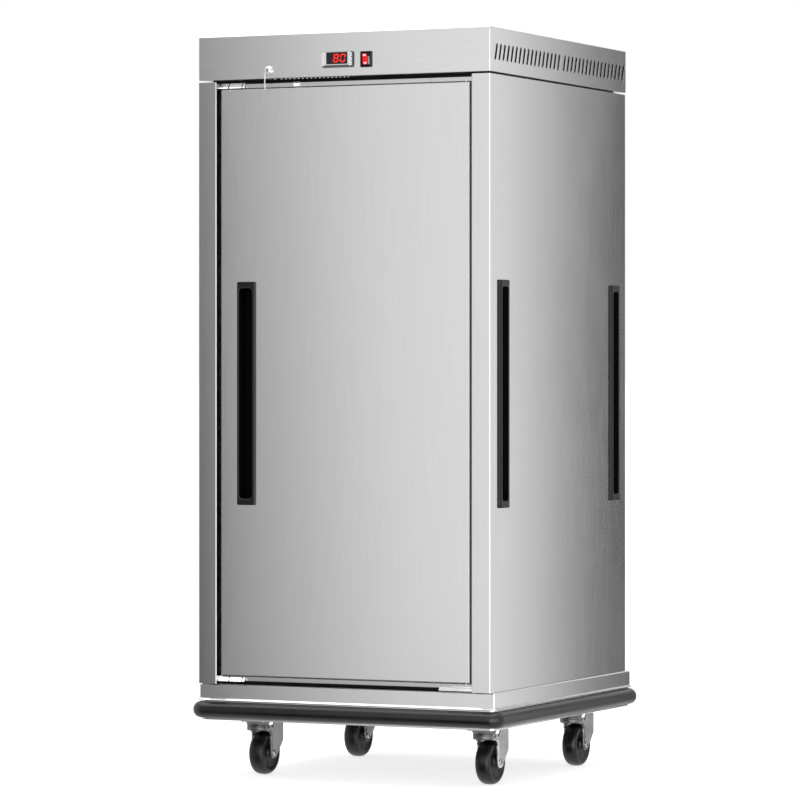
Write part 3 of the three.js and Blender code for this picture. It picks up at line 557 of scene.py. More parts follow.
def screw(place, r=3.2, h=1.6, recess=True, n=24):
    """A pan head with a cross recess, standing on local c = 0."""
    p = Part()
    dome = [(r, 0.0), (r, h * 0.35), (r * 0.93, h * 0.68), (r * 0.75, h * 0.9), (r * 0.6, h)]
    rings = [[place(q * math.cos(2 * PI * i / n), q * math.sin(2 * PI * i / n), z) for i in range(n)] for q, z in dome]
    p.rings(rings)
    w, l = r * 0.13, r * 0.5
    cross = [(l, -w), (l, w), (w, w), (w, l), (-w, l), (-w, w), (-l, w), (-l, -w), (-w, -w), (-w, -l), (w, -l), (w, -w)]
    pts, faces = flat(circle(0, 0, r * 0.6, n), [cross])
    p.add([place(x, y, h) for x, y in pts], faces)
    a = [place(x, y, h) for x, y in cross]
    b = [place(x * 0.8, y * 0.8, h * 0.4) for x, y in cross]
    p.rings([b, a])
    pts, faces = flat([(x * 0.8, y * 0.8) for x, y in cross])
    p.add([place(x, y, h * 0.4) for x, y in pts], faces)
    return p


def rivet(place, r=3.0, h=1.3, n=20):
    prof = [(r, 0.0), (r * 0.97, h * 0.3), (r * 0.82, h * 0.68), (r * 0.55, h * 0.92), (r * 0.34, h), (r * 0.30, h * 0.72), (0.0, h * 0.72)]
    return turned(prof, n, place)


def hex_head(place, across, h, washer=0.0, hole=0.0):
    """A hexagon head or nut with a chamfered top, on an optional washer."""
    p = Part()
    z = 0.0
    if washer:
        p.join(turned([(0.0, 0.0), (washer, 0.0), (washer, 0.9), (washer - 0.4, 1.2), (0.0, 1.2)], 32, place))
        z = 1.2
    R = across / math.sqrt(3)
    n = 6
    ang = [2 * PI * i / 6 for i in range(6)]
    lo = [place(R * math.cos(a), R * math.sin(a), z) for a in ang]
    up = [place(R * math.cos(a), R * math.sin(a), z + h * 0.82) for a in ang]
    top = [place(R * 0.86 * math.cos(a), R * 0.86 * math.sin(a), z + h) for a in ang]
    p.rings([lo, up, top], cap_start=True, cap_end=not hole)
    if hole:
        inner = [place(hole * math.cos(a), hole * math.sin(a), z + h) for a in ang]
        low = [place(hole * math.cos(a), hole * math.sin(a), z + h * 0.4) for a in ang]
        p.rings([top, inner, low], cap_end=True)
    return p


# ================================================================ dimensions
HALF_W, FRONT_Y, BACK_Y = 366.5, -412.5, 387.5
BODY_Z0, BODY_Z1, HEAD_Z0, HEAD_Z1 = 221.0, 1600.4, 1604.7, 1705.0
OPEN_HALF, DOOR_HALF = 320.75, 313.25
DOOR_FACE, DOOR_BACK, DOOR_Z0, DOOR_Z1 = -405.0, -367.0, 240.0, 1584.0
GRIP_Z0, GRIP_Z1 = 632.0, 1142.0
SIDE_GRIP_Y = (-353.75, 297.0)
DOOR_GRIP_X = -243.0
BASE_HALF, BASE_Y0, BASE_Y1 = 371.5, -398.5, 401.5
BASE_Z0, BASE_STEP, BASE_Z1 = 137.0, 181.0, 220.6
CTRL_X, CTRL_Z = -9.5, 1642.3
SWITCH_X, SWITCH_Z = 61.4, 1641.0
LOCK_X, LOCK_Z = -184.5, 1623.0
INLET_X, INLET_Z = -250.0, 1655.0
FAN_Y = 20.0
CASTOR_X, CASTOR_Y, TRAIL, WHEEL_R = 287.5, (-267.5, 235.5), 33.0, 51.0


def shell_rings(levels, place, n=6):
    """Rings of a box with rounded corners. Each level is (inset, corner radius, height) from the box x0,x1,y0,y1."""
    (x0, x1, y0, y1), steps = levels
    return [[place(x, y, z) for x, y in round_rect(x0 + d, x1 - d, y0 + d, y1 - d, r, n)] for d, r, z in steps]


def world(x, y, z):
    return (x, y, z)


# ==================================================================== header
def header():
    r = 2.4
    f = Fold([(0, BACK_Y), (-HALF_W, BACK_Y), (-HALF_W, FRONT_Y), (HALF_W, FRONT_Y), (HALF_W, BACK_Y), (0, BACK_Y)], r, segs=5)
    holes = []
    lean = 11 / 36
    for i in range(17):
        for yc in (FRONT_Y + 34 + 22.24 * i, FRONT_Y + 423.6 + 22.29 * i):
            for s in (1, -1):
                u = f.find(near=(s * HALF_W, yc))
                d = 1 if s > 0 else -1  # +y runs with u on the right side, against it on the left
                half, q = 14.0, 4.9
                pts = []
                for k in range(9):
                    a = PI * k / 8
                    pts.append((q * math.cos(a), half + q * math.sin(a)))
                for k in range(9):
                    a = PI + PI * k / 8
                    pts.append((q * math.cos(a), -half + q * math.sin(a)))
                holes.append([(u + d * (a + b * lean), 1650.6 + b) for a, b in pts])

    def rect(x0, x1, z0, z1, y, rr):
        u0, u1 = sorted((f.find(near=(x0, y)), f.find(near=(x1, y))))
        return round_rect(u0, u1, z0, z1, rr, 3)

    holes.append(rect(CTRL_X - 36, CTRL_X + 36, CTRL_Z - 15, CTRL_Z + 15, FRONT_Y, 1.5))
    holes.append(rect(SWITCH_X - 13, SWITCH_X + 13, SWITCH_Z - 17.5, SWITCH_Z + 17.5, FRONT_Y, 1.0))
    u = f.find(near=(LOCK_X, FRONT_Y))
    holes.append(circle(u, LOCK_Z, 8.6, 24))
    holes.append(rect(INLET_X - 24.3, INLET_X + 24.3, INLET_Z - 14.3, INLET_Z + 14.3, BACK_Y, 1.5))
    p = folded(f, HEAD_Z0 + 1.6, HEAD_Z1 - r, holes)
    box = (-HALF_W, HALF_W, FRONT_Y, BACK_Y)
    n = 5

    def seamed(rings):  # the folded sheet meets itself in the middle of the back
        return [ring[:2 * n + 2] + [(0.0, ring[2 * n + 1][1], ring[0][2])] + ring[2 * n + 2:] for ring in rings]

    top = [(0.0, r, HEAD_Z1 - r)]
    for k in range(1, 6):
        a = rad(18 * k)
        top.append(((r - 0.05) * (1 - math.cos(a)), max(r - (r - 0.05) * (1 - math.cos(a)), 0.05), HEAD_Z1 - r + r * math.sin(a)))
    p.rings(seamed(shell_rings((box, top), world, n)), cap_end=True)
    low = [(0.0, r, HEAD_Z0 + 1.6)]
    for k in range(1, 5):
        a = rad(22.5 * k)
        low.append((1.6 * (1 - math.cos(a)), r, HEAD_Z0 + 1.6 - 1.6 * math.sin(a)))
    low.append((20.0, r, HEAD_Z0))
    p.rings(list(reversed(seamed(shell_rings((box, low), world, n)))))
    make("header_shell", p, STEEL_X, "root", ("header_cover",), solid=1.1, bevel=0.22, bevel_angle=50, segs=2, smooth=60, even=False)


header()


# ================================================================ side panels
def side_panel(s):
    """One folded sheet: back flange, side, front stile and jamb."""
    pts = [(s * (HALF_W - 22), BACK_Y - 3.6), (s * HALF_W, BACK_Y - 3.6), (s * HALF_W, FRONT_Y), (s * OPEN_HALF, FRONT_Y), (s * OPEN_HALF, FRONT_Y + 55)]
    if s > 0:
        pts = list(reversed(pts))  # anticlockwise in plan on both sides, so the sheet faces out
    f = Fold(pts, [0, 2.0, 2.4, 2.4, 0] if s < 0 else [0, 2.4, 2.4, 2.0, 0], segs=5)
    holes = []
    for y in SIDE_GRIP_Y:
        u = f.find(near=(s * HALF_W, y))
        holes.append(round_rect(u - 18.3, u + 18.3, GRIP_Z0 + 9, GRIP_Z1 - 9, 4, 3))
    p = folded(f, BODY_Z0, BODY_Z1, holes)
    for z, up in ((BODY_Z1, True), (BODY_Z0, False)):
        y0, y1 = FRONT_Y + 2.6, BACK_Y - 6
        x0, x1 = (HALF_W - 22, HALF_W - 1.3) if s > 0 else (-HALF_W + 1.3, -HALF_W + 22)
        q = [(x0, y0, z), (x1, y0, z), (x1, y1, z), (x0, y1, z)]
        p.add(q, [(0, 1, 2, 3) if up else (3, 2, 1, 0)])
    name = "side_sheet_right" if s > 0 else "side_sheet_left"
    node = "side_panel_right" if s > 0 else "side_panel_left"
    # The left sheet takes the darker steel: painted shade on its stile.
    make(name, p, STEEL_SIDE if s > 0 else STEEL_LEFT_SHADED, "root", (node,), solid=1.1, bevel=0.25, bevel_angle=50, smooth=60, face_out=False)


side_panel(1)
side_panel(-1)


def back_sheet():
    """The back panel, let in between the side panels, with a row of screws round it."""
    x1, y, z0, z1 = HALF_W - 1.6, BACK_Y - 1.7, BODY_Z0 + 0.4, BODY_Z1 - 0.4
    p = prism(round_rect(-x1, x1, z0, z1, 1.0, 2), 0.0, 1.1, lambda a, b, c: (-a, y - 1.1 + c, b))
    # two shallow pressed ribs that stiffen the sheet
    for xc in (-120.0, 120.0):
        rib = []
        for d, h in ((12, -0.02), (9, 0.25), (6, 0.8), (3, 1.25)):
            rib.append([(-a, y - 0.0 + h * 0.9, b) for a, b in round_rect(xc - d, xc + d, z0 + 90 - d, z1 - 90 + d, d * 0.95, 5)])
        p.rings(rib, cap_end=True)
    make("back_sheet", p, STEEL_Z, "root", ("back_panel",), bevel=0.2, bevel_angle=60, smooth=60)
    q = Part()
    for z in [z0 + 25 + i * (z1 - z0 - 50) / 8 for i in range(9)]:
        for x in (-x1 + 14, x1 - 14):
            q.join(screw(axis_y(x, y, z, 1), 4.2, 1.6))
    for x in (-230, -80, 80, 230):
        for z in (z0 + 14, z1 - 14):
            q.join(screw(axis_y(x, y, z, 1), 4.2, 1.6))
    for x in (-330, 330):
        for z in (1620, 1690):
            q.join(screw(axis_y(x, BACK_Y, z, 1), 4.2, 1.6))
    make("back_screws", q, ZINC, "root", smooth=50)


back_sheet()


# ======================================================================= base
def base():
    """The base band: chamfered top edge, and a lip rolled out along its foot."""
    b = (-BASE_HALF, BASE_HALF, BASE_Y0, BASE_Y1)
    n = 6
    steps = [(3.0, 0.8, BASE_Z1), (2.6, 0.9, BASE_Z1 - 0.12), (0.3, 3.0, BASE_Z1 - 2.4), (0.0, 3.2, BASE_Z1 - 2.9)]
    steps += [(0.0, 3.2, BASE_STEP + 6.4), (-0.35, 3.5, BASE_STEP + 5.6), (-3.3, 6.5, BASE_STEP + 2.2), (-3.7, 6.9, BASE_STEP + 1.5), (-3.7, 6.9, BASE_STEP + 0.7), (-3.2, 6.4, BASE_STEP + 0.3), (0.5, 3.6, BASE_STEP), (0.5, 14.0, BASE_STEP - 0.01), (0.3, 15.0, BASE_STEP - 0.3)]
    steps += [(0.3, 15.0, BASE_Z0 + 0.9), (0.45, 14.9, BASE_Z0 + 0.35), (0.9, 14.5, BASE_Z0 + 0.05), (1.4, 14.2, BASE_Z0), (1.9, 13.4, BASE_Z0 + 0.3), (2.1, 13.0, BASE_Z0 + 0.9)]
    steps += [(2.2, 13.0, BASE_Z1 - 3.5), (3.4, 12.0, BASE_Z1 - 2.3)]
    rings = shell_rings((b, steps), world, n)
    p = Part().rings(rings, cap_start=True, cap_end=True)
    make("base_band", p, STEEL_B, "root", ("base_tray",), smooth=70)


base()


def bumper():
    """One moulded strip with a D section, mitred smoothly round the corners."""
    x1, y0, y1, r = BASE_HALF + 0.4, BASE_Y0 - 0.4, BASE_Y1 + 0.4, 15.3
    path = []
    n = 14
    for cx, cy, a0 in ((x1 - r, y0 + r, -90), (x1 - r, y1 - r, 0), (-x1 + r, y1 - r, 90), (-x1 + r, y0 + r, 180)):
        for i in range(n + 1):
            a = rad(a0 + 90.0 * i / n)
            path.append((cx + r * math.cos(a), cy + r * math.sin(a), math.cos(a), math.sin(a)))
    zc, h = 160.0, 18.8
    sec = [(0.0, -h + 0.6), (0.5, -h)]
    k = 30
    for i in range(k + 1):
        a = (-1 + 2 * i / k) * PI / 2
        sec.append((1.6 + 18.0 * math.cos(a), h * math.sin(a)))
    sec += [(0.5, h), (0.0, h - 0.6)]
    rings = [[(x + nx * o, y + ny * o, zc + z) for o, z in sec] for x, y, nx, ny in path]
    p = Part().rings(rings, loop=True)
    make("bumper_strip", p, BUMPER, "root", ("bumper",), smooth=60)


bumper()


# ======================================================================= door
def door():
    """The door's outer pan: face with the handle opening, chamfered edges, the hemmed rim and the pin holes."""
    r = 2.8
    b = (-DOOR_HALF, DOOR_HALF, DOOR_Z0, DOOR_Z1)

    def place(a, c, d):
        return (a, -d, c)

    depth = -DOOR_FACE
    steps = [(1.3, r, -DOOR_BACK + 0.2), (0.3, r, -DOOR_BACK), (0.0, r, -DOOR_BACK + 0.4), (0.0, r, depth - 2.7), (0.2, r - 0.2, depth - 2.3), (2.3, r - 2.3, depth - 0.2), (2.7, 0.1, depth)]
    rings = shell_rings((b, steps), place, 5)
    p = Part().rings(rings)
    # the top and bottom walls are made again with a hole for the hinge pin
    drop = {2 * 24 + 11, 2 * 24 + 23}
    p.m = [m for i, m in enumerate(p.m) if i not in drop]
    p.f = [f for i, f in enumerate(p.f) if i not in drop]
    for z, up in ((DOOR_Z1, True), (DOOR_Z0, False)):
        pts, faces = flat([(-DOOR_HALF + r, -depth + 2.7), (DOOR_HALF - r, -depth + 2.7), (DOOR_HALF - r, DOOR_BACK - 0.4), (-DOOR_HALF + r, DOOR_BACK - 0.4)], [circle(301, -396, 4.7, 24)])
        p.add([(x, y, z) for x, y in pts], faces if up else [tuple(reversed(f)) for f in faces])
        s = -1 if up else 1
        p.rings([[(x, y, z + s * h) for x, y in circle(301, -396, 4.7, 24)] for h in (0.0, 17.0)])
    last = round_rect(b[0] + 2.7, b[1] - 2.7, b[2] + 2.7, b[3] - 2.7, 0.1, 5)
    hole = round_rect(DOOR_GRIP_X - 18.3, DOOR_GRIP_X + 18.3, GRIP_Z0 + 9, GRIP_Z1 - 9, 4, 4)
    pts, faces = flat(last, [hole])
    p.add([place(x, z, depth) for x, z in pts], faces)
    # the rolled return round the handle opening
    p.rings([[place(x, z, depth) for x, z in hole], [place(x, z, depth - 1.2) for x, z in hole]])
    make("door_pan", p, STEEL_Z, "door", ("door_skin",), smooth=60, solid=0.0)


door()


# ====================================================== rails, deck, brackets
def boxy(x0, x1, y0, y1, z0, z1, r=0.6, mat=0):
    """A bar with rounded edges all round."""
    b = (x0, x1, y0, y1)
    steps = [(r, 0.3, z0)]
    for a in (30, 60, 90):
        steps.append((r * (1 - math.sin(rad(a))), 0.3 + r * math.sin(rad(a)), z0 + r * (1 - math.cos(rad(a)))))
    for a in (90, 60, 30):
        steps.append((r * (1 - math.sin(rad(a))), 0.3 + r * math.sin(rad(a)), z1 - r * (1 - math.cos(rad(a)))))
    steps.append((r, 0.3, z1))
    return Part().rings(shell_rings((b, steps), world, 3), mat, cap_start=True, cap_end=True)


def rails():
    for name, node, z0, z1, f0, f1 in (("head_bar", "head_rail", DOOR_Z1 + 1.1, DOOR_Z1 + 11, DOOR_Z1 + 2, BODY_Z1 - 0.4), ("sill_bar", "sill_rail", DOOR_Z0 - 11, DOOR_Z0 - 1.1, BODY_Z0 + 0.4, DOOR_Z0 - 2)):
        p = boxy(-250.5, 213 if node == "head_rail" else 236.5, -399, -384.4, z0 + 0.02, z1 - 0.02, 0.8)
        p.join(boxy(-213, 213, -384.6, -358.2, z0 + 0.02, z1 - 0.02, 0.8))
        # The full-width piece behind the gap between door and rail is near-black: painted shade in that gap.
        p.join(boxy(-OPEN_HALF + 0.4, OPEN_HALF - 0.4, -384, -358.3, f0 + 0.05, f1, 0.4), mat=1)
        make(name, p, [RAIL, SHADE_BLACK], "root", (node,), smooth=60)


rails()


def deck():
    # The spacer under the header is near-black: painted shade in the gap below the header.
    p = boxy(-342, 342, FRONT_Y + 26, BACK_Y - 22, BODY_Z1 + 0.35, HEAD_Z0 - 0.35, 0.5)
    make("header_spacer", p, SHADE_BLACK, "root", ("header_deck",), smooth=60)


deck()


def wedge(x0, x1, z0, z1, y_low, lean, y_back=-384.6, e=0.5, up=True):
    """A block whose front leans back from one edge to the other; its long edges are rounded."""
    run = (z1 - z0) * math.tan(rad(lean))
    if up:
        prof = [(y_low, z0), (y_back, z0), (y_back, z1), (y_low + run, z1)]
    else:
        prof = [(y_low + run, z0), (y_back, z0), (y_back, z1), (y_low, z1)]
    prof = fillet_poly(prof, [e, e, e, e], 3)
    return prism(prof, x0, x1, lambda a, b, c: (c, a, b))


def bracket_left(name, z0, z1):
    """The blanking casting on the side without hinges: two sloped plates and an end stop."""
    p = Part()
    # The sloped plates are in the lighter metal: painted highlight.
    for x0, x1, y in ((-320.2, -293.4, -407.6), (-290.9, -259.2, -407.6), (-256.6, -251.6, -407.9)):
        p.join(wedge(x0, x1, z0, z1, y, 34.0))
    # The block behind the plates is near-black: painted shade in the gap.
    p.join(boxy(-320.2, -251.8, -396, -384.6, z0 + 0.4, z1 - 0.4, 0.4), mat=1)
    make(name, p, [BRIGHT_HIGHLIGHT, SHADE_BLACK], "root", (), smooth=40)
    q = Part()
    for x in (-307.0, -275.0):
        q.join(screw(lambda a, b, c, x=x: (x + a, -390 - b, z0 - c * 0.5), 3.2, 1.2))
    make(name + "_screws", q, ZINC, "root", smooth=45)


def pin_of(z0, z1):
    prof = [(0.0, 0.0), (3.9, 0.0), (3.9, abs(z1 - z0) - 2.6), (3.6, abs(z1 - z0) - 1.2), (2.8, abs(z1 - z0)), (0.0, abs(z1 - z0))]
    d = 1 if z1 > z0 else -1
    return turned(prof, 28, lambda a, b, c: (301 + a, -396 + d * b, z0 + d * c))


def bracket_right_bottom():
    """The lower hinge bracket: a bright stepped shoe in front of the sill, a plate over it, and the pin."""
    p = Part()
    # The stepped shoe is in the lighter metal: painted highlight.
    p.join(wedge(238.2, 320.2, 223.0, 230.8, -407.8, 30.0))
    p.join(wedge(270.0, 320.2, 230.6, 233.4, -404.6, 30.0, e=0.3))
    p.join(boxy(238.0, 320.2, -399, -384.6, 230.0, 238.8, 0.6), mat=1)
    make("bracket_bottom_right", p, [BRIGHT_HIGHLIGHT, RAIL], "root", ("hinge_bracket_bottom",), smooth=40)
    make("bracket_bottom_right_pin", pin_of(236.0, 255.4), ZINC, "root", smooth=45)


def bracket_right_top():
    """The upper hinge bracket follows the rail, so that the strip runs on to the stile."""
    p = boxy(213.5, 320.2, -399, -384.6, DOOR_Z1 + 1.12, DOOR_Z1 + 10.98, 0.8)
    # The block above the rail is near-black: painted shade under the header.
    p.join(boxy(230.0, 318.0, -397.6, -385.2, DOOR_Z1 + 10.6, BODY_Z1 - 1.2, 0.4), mat=1)
    make("bracket_top_right", p, [RAIL, SHADE_BLACK], "root", ("hinge_bracket_top",), smooth=50)
    make("bracket_top_right_pin", pin_of(1588.0, 1568.6), ZINC, "root", smooth=45)


bracket_left("bracket_bottom_left", 227.2, 238.8)
bracket_left("bracket_top_left", 1585.3, 1597.2)
bracket_right_bottom()
bracket_right_top()


def keeper():
    """The small bright keeper on the head rail."""
    z0, z1 = 1585.6, 1596.6
    a = [(-125.2, z0), (-115.4, z0), (-111.2, z1), (-129.4, z1)]
    lo = [(x, -399.3 if i < 2 else -399.3, z) for i, (x, z) in enumerate(a)]
    face = [(-125.2, -404.6, z0 + 0.3), (-115.4, -404.6, z0 + 0.3), (-111.2, -399.8, z1 - 0.2), (-129.4, -399.8, z1 - 0.2)]
    p = Part().rings([lo, face], cap_start=True, cap_end=True)
    # The keeper is in the lighter metal: a painted glint on the rail.
    make("latch_keeper", p, BRIGHT_HIGHLIGHT, "root", bevel=0.3, bevel_angle=30, smooth=40)


keeper()


# ==================================================================== handles
def handle(name, node, body, place):
    """A moulded grab handle: crowned frame, a finger recess with draft and a thin rim bead."""

    def ring(w, h, r, c, n=7):
        return [place(x, z, c) for x, z in round_rect(-w, w, 887 - h, 887 + h, r, n)]

    rings, mats = [], []

    def go(w, h, r, c, m=0):
        rings.append(ring(w, h, r, c))
        mats.append(m)

    go(17.6, 245.0, 3.4, -21.6)
    go(17.9, 245.5, 3.6, -21.0)
    go(17.9, 245.5, 3.6, 0.35)
    go(21.6, 254.6, 2.6, 0.35)
    go(22.0, 255.0, 3.0, 0.8)
    go(22.0, 255.0, 3.0, 5.6)
    # The rim bead is in the lighter plastic: painted highlight.
    go(22.16, 255.16, 3.1, 5.8, 1)
    go(22.16, 255.16, 3.1, 6.5, 1)
    go(22.0, 255.0, 3.0, 6.7, 1)
    go(22.0, 255.0, 3.0, 11.0)
    for a in (30, 60, 90):
        q = 1.2 * (1 - math.cos(rad(a)))
        go(22.0 - q, 255.0 - q, 3.0 - q, 11.1 + 1.2 * math.sin(rad(a)), 0)
    go(18.3, 241.9, 9.4, 12.3)
    # The lip into the recess is in the lighter plastic: painted highlight.
    go(17.7, 241.3, 9.1, 12.1, 1)
    go(17.35, 240.9, 8.9, 11.5, 1)
    # The recess is in the darker plastic: painted shade.
    go(17.0, 240.6, 8.8, 10.4, 2)
    go(16.4, 240.0, 8.4, 4.0, 2)
    go(15.9, 239.6, 8.0, 3.4, 2)
    go(15.3, 239.0, 7.6, 2.6, 2)
    go(14.8, 238.6, 7.0, -12.0, 2)
    go(13.6, 237.6, 6.0, -17.8, 2)
    go(11.6, 236.6, 5.0, -19.4, 2)
    p = Part().rings(rings, mats[1:], cap_start=True, cap_end=True)
    o = make(name, p, [GRIP, GRIP_EDGE_HIGHLIGHT, GRIP_RECESS_SHADE], body, (node,), smooth=40)
    o.visible_glossy = False  # the satin sheet round it mirrors too softly to show it


handle("grab_door", "door_handle", "door", lambda a, b, c: (DOOR_GRIP_X + a, DOOR_FACE - c, b))
for s, side in ((1, "right"), (-1, "left")):
    for y, end in zip(SIDE_GRIP_Y, ("front", "rear")):
        handle(f"grab_{side}_{end}", f"side_handle_{side}_{end}", "root", lambda a, b, c, s=s, y=y: (s * (HALF_W + c), y + s * a, b))


# ==================================================================== castors
def castor(tag, cx, cy):
    wy, wz = cy + TRAIL, WHEEL_R
    # top plate with its rivets, dished down to the fixed race
    p = prism(round_rect(cx - 31, cx + 31, cy - 30, cy + 30, 5, 5), 126.1, 129.7, world)
    make(f"castor_top_{tag}", p, ZINC, "root", (f"castor_plate_{tag}",), bevel=0.5, bevel_angle=50, smooth=60)
    p = Part()
    prof = [(0.0, 117.55), (24.4, 117.55), (25.8, 118.1), (26.2, 119.4), (26.6, 121.2), (28.6, 124.6), (29.6, 126.1), (0.0, 126.1)]
    p.join(turned(prof, 56, axis_z(cx, cy)))
    for sx in (-1, 1):
        for sy in (-1, 1):
            p.join(rivet(lambda a, b2, c, sx=sx, sy=sy: (cx + sx * 26.4 + a, cy + sy * 25.4 - b2, 126.1 - c), 3.0, 1.0))
    # The race and its rivets under the top plate are in darker zinc: painted shade.
    make(f"castor_race_{tag}", p, ZINC_SHADED, "root", smooth=50)

    # fork: turning race, crown and two tall pressed cheeks with a raised rim down the front
    body = f"swivel_{tag}"
    p = Part()
    prof = [(0.0, 104.9), (22.0, 104.9), (24.4, 105.6), (25.3, 107.2), (25.3, 113.4), (24.5, 114.6), (25.2, 115.8), (24.8, 117.15), (0.0, 117.15)]
    # The turning race is in darker zinc: painted shade under the plate.
    p.join(turned(prof, 56, axis_z(cx, cy)), mat=1)
    crown = fillet_poly([(cx - 24.7, cy - 7.6), (cx + 24.7, cy - 7.6), (cx + 24.7, cy + 80.6), (cx - 24.7, cy + 80.6)], [3, 3, 2, 2], 4)
    p.join(prism(crown, 104.7, 106.9, world))
    outline = [(-7.8, 104.7), (8, 102.2), (16.2, 97), (18.2, 90), (18.2, 48), (22.2, 41.2), (29, 38.2), (37, 38.2), (45, 42.2), (62.8, 58.2), (80.8, 78.2), (80.8, 123.8), (36.2, 123.8), (30.2, 116.8), (-7.8, 116.8)]
    cheek = fillet_poly(outline, [1.2, 6, 5, 5, 5, 5, 5, 5, 6, 10, 6, 2.0, 3.0, 3.0, 2.0], 5)
    rim = fillet_poly([(10.5, 101.2), (16.6, 97.2), (18.6, 90), (18.6, 48.2), (22.5, 41.6), (29.1, 38.6), (36.9, 38.6), (44.7, 42.6), (48.4, 45.8), (45.0, 49.6), (38.6, 45.0), (30.6, 44.6), (25.8, 48.0), (24.6, 52), (24.6, 93), (18.5, 102.4), (12, 105.0)], [0.6, 4, 5, 5, 5, 5, 5, 4, 1, 1, 5, 5, 4, 4, 5, 3, 0.6], 4)
    for s in (-1, 1):
        p.join(prism([(cy + a, b2) for a, b2 in cheek], 22.2, 24.8, lambda a, b2, c, s=s: (cx + s * c, a, b2), holes=[circle(cy + TRAIL, wz, 6.0, 24)]))
        # The raised rim is in the lighter metal: painted highlight along the pressed edge.
        p.join(prism([(cy + a, b2) for a, b2 in rim], 24.7, 26.2, lambda a, b2, c, s=s: (cx + s * c, a, b2), mat=2))
    make(f"castor_fork_pressing_{tag}", p, [ZINC, ZINC_SHADED, BRIGHT_HIGHLIGHT], body, (f"castor_fork_{tag}",), bevel=0.4, bevel_angle=50, smooth=50)
    p = Part()
    for s in (-1, 1):
        for a, b2 in ((8.6, 112.4), (25.4, 112.6)):
            p.join(rivet(axis_x(cx + s * 24.7, cy + a, b2, s), 3.1, 1.0))
    make(f"castor_rivets_{tag}", p, BLACK, body, smooth=50)

    # axle: bolt with low round heads; each socket's floor is a black disc, painted shade in the socket
    p = turned([(0.0, -24.9), (5.7, -24.9), (5.7, 24.9), (0.0, 24.9)], 28, axis_x(cx, wy, wz))
    for s in (-1, 1):
        ax = axis_x(cx + s * 24.9, wy, wz, s)
        p.join(turned([(0.0, 0.0), (7.0, 0.0), (7.0, 2.2), (6.3, 3.3), (5.0, 3.9), (3.3, 4.0), (3.2, 1.6), (0.0, 1.6)], 36, ax))
        p.join(turned([(0.0, 1.5), (3.1, 1.5), (3.1, 1.75), (0.0, 1.75)], 24, ax), mat=1)
    make(f"castor_bolt_{tag}", p, [ZINC, BLACK], body, (f"castor_axle_{tag}",), smooth=40)

    # wheel: tyre with round shoulders over a moulded core with a recessed web
    wheel = f"wheel_{tag}"
    ax = axis_x(cx, wy, wz)
    R = WHEEL_R - 0.15
    half = [(38.0, 16.4), (39.6, 17.8), (41.8, 18.3), (44.2, 17.6), (46.6, 15.8), (48.5, 13.2), (49.8, 10.0), (50.5, 6.6), (R, 2.6)]
    prof = half + [(r, -x) for r, x in reversed(half)] + [(37.2, -14.8), (37.2, 14.8)]
    prof.append(prof[0])
    make(f"castor_tyre_{tag}", turned(prof, 96, ax), TYRE, wheel, (f"castor_wheel_{tag}",), smooth=50)
    core = [(6.5, 20.2), (12.0, 20.2), (14.2, 19.4), (15.4, 17.6), (17.0, 14.9), (19.4, 13.7), (32.4, 13.5), (35.0, 14.4), (36.2, 16.2), (37.6, 16.8), (38.2, 15.4)]
    prof = core + [(r, -x) for r, x in reversed(core)]
    prof.append(prof[0])
    p = turned(prof, 96, ax)
    for s in (-1, 1):  # six shallow spokes
        for i in range(6):
            a = PI / 3 * i + 0.2
            ca, sa = math.cos(a), math.sin(a)

            def sp(q, w, c, ca=ca, sa=sa, s=s):
                return ax(q * ca - w * sa, q * sa + w * ca, s * c)

            loops = []
            for c, g in ((13.0, 0.0), (14.2, 0.25), (14.6, 0.7)):
                loops.append([sp(16.8 + g, -2.2 + g, c), sp(35.4 - g, -1.8 + g, c), sp(35.4 - g, 1.8 - g, c), sp(16.8 + g, 2.2 - g, c)])
            p.rings(loops, cap_end=True)
    make(f"castor_core_{tag}", p, CORE, wheel, smooth=50)


for tag, sx, yi in (("front_left", -1, 0), ("front_right", 1, 0), ("rear_left", -1, 1), ("rear_right", 1, 1)):
    castor(tag, sx * CASTOR_X, CASTOR_Y[yi])


# =================================================================== controls
def front(x0, z0, y0):
    """Local (a, b, c) on a front face: a to the right, b up, c out of the face."""
    return lambda a, b, c: (x0 + a, y0 - c, z0 + b)


FACE = -FRONT_Y


